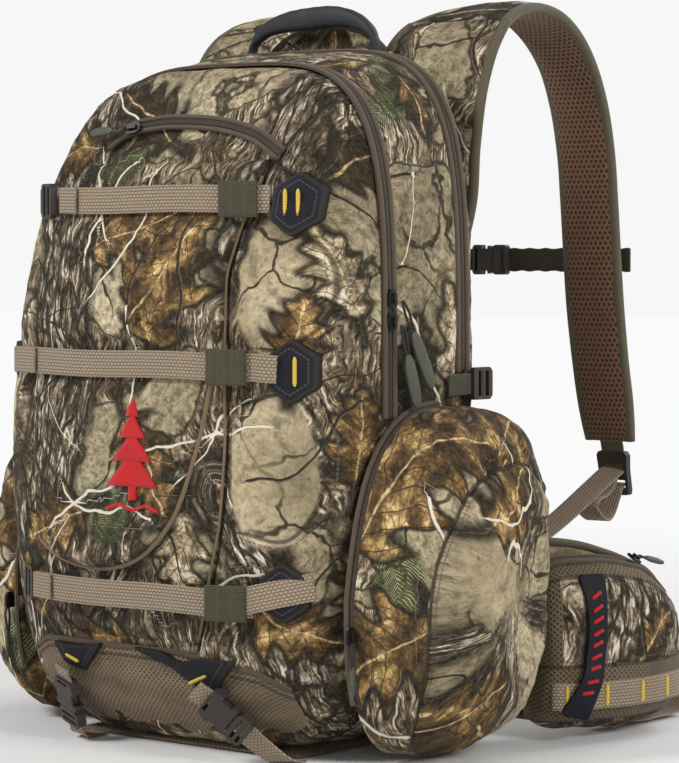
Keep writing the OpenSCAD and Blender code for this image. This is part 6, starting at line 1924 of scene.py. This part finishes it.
for sx, nm in ((1, "right"), (-1, "left")):
    body = "wing_" + nm; S3 = np.array([sx, 1, 1])
    # padded wing
    S = np.column_stack([wing, wing_lo, wing_hi, np.zeros(9), np.full(9, 12.0)])
    Q, Nn, P = upright(S, 90, 60, lambda v, s: 0.28 + 0.72 * np.sqrt(np.clip(1 - np.abs(v) ** 8, 0, 1)) * (0.75 + 0.25 * (1 - v ** 2)), 150, 0.5)
    V, F, U, uvv = loft_data(P)
    q = F[0]; col = q[:, 0] % P.shape[1]
    fm = np.concatenate([np.where(col < 29, 0, 1), np.zeros(len(F[1]) + len(F[2]), int)])
    A = camo_attrs(cut(np.stack([uvv[:, 1], uvv[:, 0]], 1), 0, (240 if sx > 0 else -300, 260)))
    V = V * S3
    if sx < 0: F = [f[:, ::-1] for f in F]; U = [x[:, ::-1] for x in U]
    ob = build("wing_cushion_" + nm, V, F, [camo, back_mesh], U, A, fm)
    finish_piece(ob, None, ("wing_pad_" + nm,), bl=("pack", body, W((sx * 139, 106, 80)), W((sx * 154, 119, 80))))
    # bound rim
    parts = []
    for key in (3, 2):
        C = np.stack([Q[:, 0] + Nn[:, 0] * 6, Q[:, 1] + Nn[:, 1] * 6, Q[:, key]], 1)
        a = np.linspace(0, 2 * math.pi, 15)[:-1]; R = []
        for i in range(len(C)):
            R.append(C[i] + np.cos(a)[:, None] * 4.4 * np.array([Nn[i, 0], Nn[i, 1], 0]) + np.sin(a)[:, None] * 3.2 * np.array([0, 0, 1.0]))
        V, F, U, uvv = loft_data(np.array(R)); parts.append((V * S3, F, U, None))
    ob = joined("wing_binding_" + nm, parts, olive_bind)
    finish_piece(ob, None, (), bl=("pack", body, W((sx * 139, 106, 80)), W((sx * 154, 119, 80))))
    # pouch
    pd = lambda v, s: np.sqrt(np.clip(1 - np.abs(v) ** 5, 0, 1)) * (0.80 + 0.20 * (1 - v ** 2)) * (0.15 + 0.85 * sm(min(s, 1 - s), 0, 0.10))
    Q, Nn, P = upright(pouch, 110, 96, pd, 160 + sx, 0.9, 0.0)
    V, F, U, uvv = loft_data(P)
    k = 48; col = np.arange(P.shape[1])
    zrel = (P[..., 2] - Q[:, 2][:, None]) / (Q[:, 3] - Q[:, 2])[:, None]
    uvp = np.vstack([np.stack([uvv[:-2, 1], uvv[:-2, 0]], 1), uvv[-2:, ::-1]])
    A = camo_attrs(cut(uvp, 12, (-420 if sx > 0 else 380, 60)))
    zs_ = P[..., 2]; dd_ = np.where(np.abs(zs_ - 58) < np.abs(zs_ - 15), zs_ - 58, 15 - zs_); gt_ = (Q[:, 3][:, None] - zs_) - 13; dd_ = np.where(np.abs(gt_) < np.abs(dd_), gt_, dd_)
    d = np.vstack([np.c_[dd_.ravel(), uvv[:-2, 1], np.ones(P.shape[0] * P.shape[1])], [[99, 0, 0]] * 2])
    A["seam"] = d
    q = F[0]; row = q[:, 0] // P.shape[1]; cc = q[:, 0] % P.shape[1]
    zq = P.reshape(-1, 3)[q].mean(1)[:, 2]
    sq = row / (P.shape[0] - 1.0); top_ = Q[:, 3][row]
    garage = (top_ - zq < 13) | ((sq < 0.13) & (zq > 30)) | (((0.13 + 22 - sq * 165 > 0) & (top_ - zq < 13 + (22 + 0.13 - sq * 165) * 1.2)) & (sq < 0.27))
    fm = np.concatenate([np.where((zq < 58) & (zq > 15) | garage, 1, 0), np.zeros(len(F[1]) + len(F[2]), int)])
    V = V * S3
    if sx < 0: F = [f[:, ::-1] for f in F]; U = [x[:, ::-1] for x in U]
    ob = build("hip_pouch_body_" + nm, V, F, [camo, side_mesh], U, A, fm)
    finish_piece(ob, body, ("hip_pouch_" + nm,))
    # zip over the top of the pouch
    def pouch_at(s, off, z):
        """point on the path of the pouch: s from 0 to 1; off is not used"""
        i = np.clip(s, 0, 1) * (len(Q) - 1); i0 = np.floor(i).astype(int); i1 = np.minimum(i0 + 1, len(Q) - 1); f = i - i0
        q_ = Q[i0] * (1 - f)[:, None] + Q[i1] * f[:, None]; n_ = unit(Nn[i0] * (1 - f)[:, None] + Nn[i1] * f[:, None])
        return q_, n_
    ss = np.linspace(0.09, 0.84, 120)
    q_, n_ = pouch_at(ss, 0, 0)
    offz = q_[:, 4] + np.maximum(q_[:, 5] * 0.27, 5.0)
    C = np.stack([q_[:, 0] + n_[:, 0] * offz, q_[:, 1] + n_[:, 1] * offz, q_[:, 3] - 1.4], 1)
    Nz = unit(np.stack([n_[:, 0] * 0.30, n_[:, 1] * 0.30, np.full(120, 0.95)], 1)); T = unit(np.gradient(C, axis=0)); Sd = unit(np.cross(T, Nz)); Nz = unit(np.cross(Sd, T))
    zip_pieces("hip_zip_" + nm, [(C * S3, Sd * S3, Nz * S3)], 13, ("hip_zip_" + nm,), 4.6, body)
    # moulded tab, S-curved, with three plain bars
    n = 90
    zt = np.linspace(20, 127, n); s_ = np.linspace(0, 1, n)
    st = np.interp(zt, [20, 26, 36, 48, 60, 75, 90, 106, 118, 127], [0.185, 0.199, 0.221, 0.245, 0.262, 0.271, 0.275, 0.274, 0.271, 0.270])
    st = np.convolve(np.r_[[st[0]] * 5, st, [st[-1]] * 5], np.ones(11) / 11, "valid")
    qa, na = pouch_at(st, 0, 0)
    i_prof = np.array([float(pd(np.array([np.clip(2 * (z - q_i[2]) / (q_i[3] - q_i[2]) - 1, -0.98, 0.98)]), 0.35)[0]) for z, q_i in zip(zt, qa)])
    i_prof = np.maximum(i_prof, 0.62); i_prof = np.convolve(np.r_[[i_prof[0]] * 4, i_prof, [i_prof[-1]] * 4], np.ones(9) / 9, "valid")
    offt = qa[:, 4] + qa[:, 5] * i_prof + 2.6 + 4.2 * (1 - sm(zt, 48, 66))
    C = np.stack([qa[:, 0] + na[:, 0] * offt, qa[:, 1] + na[:, 1] * offt, zt], 1)
    T = unit(np.gradient(C, axis=0)); N3 = np.stack([na[:, 0], na[:, 1], 0 * na[:, 0]], 1); N3 = unit(N3 - T * (N3 * T).sum(1)[:, None]); Sd = unit(np.cross(T, N3))
    wv = 17.0 + 7.5 * np.abs(2 * s_ - 1) ** 3.0; wv[:3] *= [0.80, 0.92, 0.98]; wv[-3:] *= [0.98, 0.92, 0.80]
    a = ribbon_data(C, Sd, N3, wv, 3.0, 8)
    V = a[0]; sdist = np.full(len(V), 99.0)
    parts = [(V * S3, a[1], a[2], None)]
    ob = joined("hip_tab_" + nm, parts, rubber)
    finish_piece(ob, body, ("pull_tab_" + nm,))
    parts = []
    for c0 in np.linspace(16, 76, 9).astype(int):
        d_ = unit(Sd[c0] + 0.55 * T[c0]); cc_ = C[c0] + N3[c0] * 1.62
        L_ = np.linspace(-4.6, 4.6, 5)[:, None]
        parts.append(ribbon_data(cc_ + L_ * d_, unit(np.cross(N3[c0], d_)), N3[c0], 2.6, 0.8, 4))
    for p in parts: p[0][:] = p[0] * S3
    ob = joined("hip_tab_bars_" + nm, parts, red); finish_piece(ob, body, ())
    # webbing band with stitched cells, and the belt
    ss = np.linspace(0.095, 0.90, 120); q_, n_ = pouch_at(ss, 0, 0)
    vz = np.clip(2 * (36 - q_[:, 2]) / (q_[:, 3] - q_[:, 2]) - 1, -0.95, 0.95)
    pf = np.array([float(pd(np.array([v_]), s_i)[0]) for v_, s_i in zip(vz, ss)])
    cells = np.array([0.095, 0.155, 0.32, 0.51, 0.70, 0.89]); ce = np.interp(ss, cells, np.arange(6))
    offb = q_[:, 4] + q_[:, 5] * np.convolve(np.r_[[pf[0]] * 4, pf, [pf[-1]] * 4], np.ones(9) / 9, "valid") + 1.5 + 1.0 * np.abs(np.sin(ce * math.pi))
    C = np.stack([q_[:, 0] + n_[:, 0] * offb, q_[:, 1] + n_[:, 1] * offb, np.full(120, 36.0)], 1)
    Nb = unit(np.stack([n_[:, 0], n_[:, 1], 0 * n_[:, 0]], 1))
    a = ribbon_data(C, np.array([0, 0, 1.0]), Nb, 21, 1.9, 8)
    belt = cr(np.array([[186, 210, 313, 58], [186, 210, 316, 40], [186, 210, 314, 20], [186, 210, 303, 7], [186, 210, 284, 4.2], [188, 212, 240, 4.2], [190, 214, 196, 4.2]], float), 90, key=[2, 3])
    Cb = np.stack([(belt[:, 0] + belt[:, 1]) / 2, belt[:, 2], np.maximum(belt[:, 3], 1.4) + 1.6 * np.sin(np.linspace(0, 9, 90)) ** 2 * sm(np.arange(90), 40, 60)], 1)
    T = unit(np.gradient(Cb, axis=0)); Nn2 = unit(np.cross([1.0, 0, 0], T))
    b = ribbon_data(Cb, np.array([1.0, 0, 0]), Nn2, 23, 1.9, 8)
    up = cr(np.array([[181, 299, 66], [189, 305, 62], [196, 311, 59]], float), 14)
    c_ = ribbon_data(up, unit(np.cross(np.gradient(up, axis=0), [0.5, -0.8, 0.1])), unit(np.array([0.5, -0.8, 0.1])), 22, 1.9, 8)
    for p in (a, b, c_): p[0][:] = p[0] * S3
    if sx > 0: thr = cr(np.array([[160, 308.6, 56], [164.5, 311.5, 56], [170, 313.8, 56], [179, 315.2, 57], [189, 314.4, 58]], float), 30)
    else: thr = cr(np.array([[162, 308.6, 56], [166.5, 311.5, 56], [172, 313.8, 56], [180, 315.2, 57], [189, 314.4, 58]], float), 30)
    d_ = ribbon_data(thr, np.array([0, 0, 1.0]), unit(np.cross(np.gradient(thr, axis=0), [0, 0, 1.0])), 22, 1.8, 6)
    d_[0][:] = d_[0] * S3
    ob = joined("hip_belt_end_" + nm, [d_], taupe_web)
    finish_piece(ob, None, (), bl=(body, "belt_clip_" + nm, W((sx * 189, 314, 58)), W((sx * 167, 312, 56))))
    ob = joined("hip_band_" + nm, [a], taupe_web); finish_piece(ob, body, ("hip_webbing_" + nm,))
    ob = joined("hip_belt_" + nm, [b, c_], taupe_web); finish_piece(ob, body, ())
    rows = []
    for s0 in cells[1:]:
        i = int(np.argmin(np.abs(ss - s0))); i = min(max(i, 1), 118)
        rows.append((C[i] * S3 + Nb[i] * S3 * 1.0, (0, 0, 1), Nb[i] * S3, 17))
    bartacks("hip_bartacks_" + nm, rows, body)



def belt_parts():
    h = 15.5; t = 3.3
    M = np.eye(4); M[:3, 3] = (0, 309.5, 56)
    head = [(146, -h + 2), (148, -h), (170, -h), (172, -h + 2), (172, h - 2), (170, h), (148, h), (146, h - 2)]
    pr = [(128, h - 9), (132, h - 4.4), (147, h - 4.4), (147, h - 11), (131, h - 11.6)]
    adds = [bm_prism(head, -t, t, 1), bm_prism(pr, -1.8, 1.8, 1), bm_prism([(x, -z) for x, z in pr], -1.8, 1.8, 1)]
    cuts = [bm_prism([(153, -12), (156, -12), (156, 12), (153, 12)], -8, 8, 1), bm_prism([(162, -12), (165.4, -12), (165.4, 12), (162, 12)], -8, 8, 1)]
    ob = solid("belt_clip_plug", adds, cuts, buckle, 0.8, M)
    finish_piece(ob, "belt_clip_right", ("belt_plug",))
    sock = [(-172, -h + 2), (-170, -h), (-142, -h), (-136, -h + 2.4), (-136, h - 2.4), (-142, h), (-170, h), (-172, h - 2)]
    adds = [bm_prism(sock, -t - 0.1, t + 0.1, 1)]
    cuts = [bm_prism([(-155, -12.4), (-130, -12.4), (-130, 12.4), (-155, 12.4)], -1.9, 1.9, 1), bm_prism([(-168, -12), (-164.6, -12), (-164.6, 12), (-168, 12)], -8, 8, 1),
            bm_prism([(-152, 12), (-144, 12), (-142, 18), (-154, 18)], -8, 8, 1), bm_prism([(-152, -12), (-154, -18), (-142, -18), (-144, -12)], -8, 8, 1)]
    ob = solid("belt_clip_socket", adds, cuts, buckle, 0.8, M)
    finish_piece(ob, "belt_clip_left", ("belt_socket",))


belt_parts()

# ------------------------------------------------------------------ zip sliders and pullers
def slider(name, M, body, node, L=12.5, w=9.6, t=4.6):
    """metal slider: two plates, a bridge and the neck; local z along the zip, y outward"""
    pl = [(-w/2 + 1, -L/2), (w/2 - 1, -L/2), (w/2, -L/2 + 2), (w/2 - 0.4, L/2 - 3), (w/2 - 2.4, L/2), (-w/2 + 2.4, L/2), (-w/2 + 0.4, L/2 - 3), (-w/2, -L/2 + 2)]
    adds = [bm_prism(pl, -t/2, t/2 - 2.4, 1), bm_prism([(-1.5, -L/2 + 2.4), (1.5, -L/2 + 2.4), (1.5, L/2 - 2.4), (-1.5, L/2 - 2.4)], -t/2 + 1, t/2, 1)]
    cuts = [bm_prism([(-4, -1.6), (4, -1.6), (4, 1.8), (-4, 1.8)], t/2 - 2.2, t/2 - 0.9, 1)]
    ob = solid(name, adds, cuts, slider_mat, 0.45, M)
    finish_piece(ob, body, (node,) if node else ())
    return ob


def grip_data(C, w, t, up, ribs=9):
    """moulded oval grip along C"""
    C = np.asarray(C, float); n = len(C); T = unit(np.gradient(C, axis=0))
    Nn = unit(np.asarray(up, float) - T * (T @ np.asarray(up, float))[:, None]); S = np.cross(T, Nn)
    s = np.linspace(0, 1, n)
    sh = np.sqrt(np.clip(1 - np.abs(2 * s - 1) ** 3.2, 0.02, 1)); ridge = 1 + 0.05 * np.sin(s * ribs * 2 * math.pi) * sm(s, 0.2, 0.3) * (1 - sm(s, 0.72, 0.82))
    a = np.linspace(0, 2 * math.pi, 21)[:-1]
    R = [C[i] + (np.sign(np.cos(a)) * np.abs(np.cos(a)) ** 0.75)[:, None] * S[i] * w / 2 * sh[i] + (np.sign(np.sin(a)) * np.abs(np.sin(a)) ** 0.75)[:, None] * Nn[i] * t / 2 * sh[i] * ridge[i] for i in range(n)]
    V, F, U, uvv = loft_data(np.array(R))
    return V, F, U, None


def puller(name, top, bottom, out, body, node, w=8.6, t=4.4, cord=0.42):
    """cord loop from the slider to a moulded grip"""
    top = np.array(top, float); bottom = np.array(bottom, float); out = unit(out)
    d = bottom - top; L = np.linalg.norm(d); T = d / L; S = unit(np.cross(T, out))
    parts = []
    for s in (-1, 1):
        C = cr(np.array([top + S * s * 0.6, top + T * L * cord * 0.35 + S * s * 2.2 + out * 0.4, top + T * L * cord * 0.8 + S * s * 1.7, top + T * L * (cord + 0.1) + S * s * 0.9]), 24)
        parts.append(tube_data(C, 0.95, 8))
    ob = joined(name + "_cord", parts, cord_dark); finish_piece(ob, body, (node,))
    s = np.linspace(cord, 1.0, 46)[:, None]
    ob = joined(name + "_grip", [grip_data(top + d * s, w, t, out)], puller_rub); finish_piece(ob, body, ())


def mat4(e1, e2, e3, p):
    M = np.eye(4); M[:3, 0] = e1; M[:3, 1] = e2; M[:3, 2] = e3; M[:3, 3] = p
    return M


slider("front_slider_body_upper", mat4((0, -1, 0), (1, 0, 0), (0, 0, 1), (168.0, -19, 336.5)), "front_slider_upper", "front_slider_upper")
slider("front_slider_body_lower", mat4((0, 1, 0), (1, 0, 0), (0, 0, -1), (168.0, -19, 319.5)), "front_slider_lower", "front_slider_lower")
puller("front_pull_upper", (174.6, -17, 334.5), (175.8, 17, 270), (1, 0, 0), "front_puller_upper", "front_puller_upper", 11.5, 4.4, 0.34)
puller("front_pull_lower", (174.6, -18, 317), (175.8, 0, 256), (1, 0, 0), "front_puller_lower", "front_puller_lower", 11.5, 4.4, 0.34)
slider("main_slider_body", mat4((0, -1, 0), (-1, 0, 0), (0, 0, -1), (-169.6, 66, 358.5)), "main_slider", "main_slider")
puller("main_pull", (-170.5, 66, 353), (-170.2, 66, 296), (-1, 0, 0), "main_slider", "main_slider", 7.0, 3.6)
yt = float(yf(-16.0, 454.0, 3.2)) - 2
e1 = unit(np.array([1.0, 0.12, 0.14])); e2 = unit(np.array([0.0, -1.0, 0.45])); e2 = unit(e2 - e1 * (e1 @ e2)); e3 = np.cross(e1, e2)
slider("top_slider_body", mat4(e3, e2, e1, (-30, yt - 2.6, 462.0)), "top_slider", "top_slider", 13, 9.4, 4.6)
puller("top_pull", (-36, yt - 4.8, 461.6), (-73, yt - 3.6, 459.0), (0, -1, 0.3), "top_slider", "top_slider", 6.6, 3.2, 0.35)
for sx, nm in ((1, "right"), (-1, "left")):
    slider("side_slider_body_" + nm, mat4((0, -sx, 0), (sx, 0, 0), (0, 0, 1), (sx * 174.6, -74.5, 98)), "side_slider_" + nm, "side_slider_" + nm)
    puller("side_pull_" + nm, (sx * 175.6, -74.5, 93), (sx * 175.2, -74.5, 52), (sx, 0, 0), "side_slider_" + nm, "side_slider_" + nm, 5.2, 3.0, 0.4)
    e3 = unit(np.array([0.0, 0.92, -0.392])); e2 = unit(np.array([sx * 0.5, 0.3, 0.8])); e2 = unit(e2 - e3 * (e3 @ e2)); e1 = np.cross(e2, e3)
    slider("hip_slider_body_" + nm, mat4(e1, e2, e3, (sx * 222.6, 210, 134.6)), "hip_slider_" + nm, "hip_slider_" + nm)
    puller("hip_pull_" + nm, (sx * 223.0, 214.5, 135.2), (sx * 224.5, 244, 128.5), (sx * 0.3, 0.2, 1), "hip_slider_" + nm, "hip_slider_" + nm, 9.4, 4.2, 0.25)
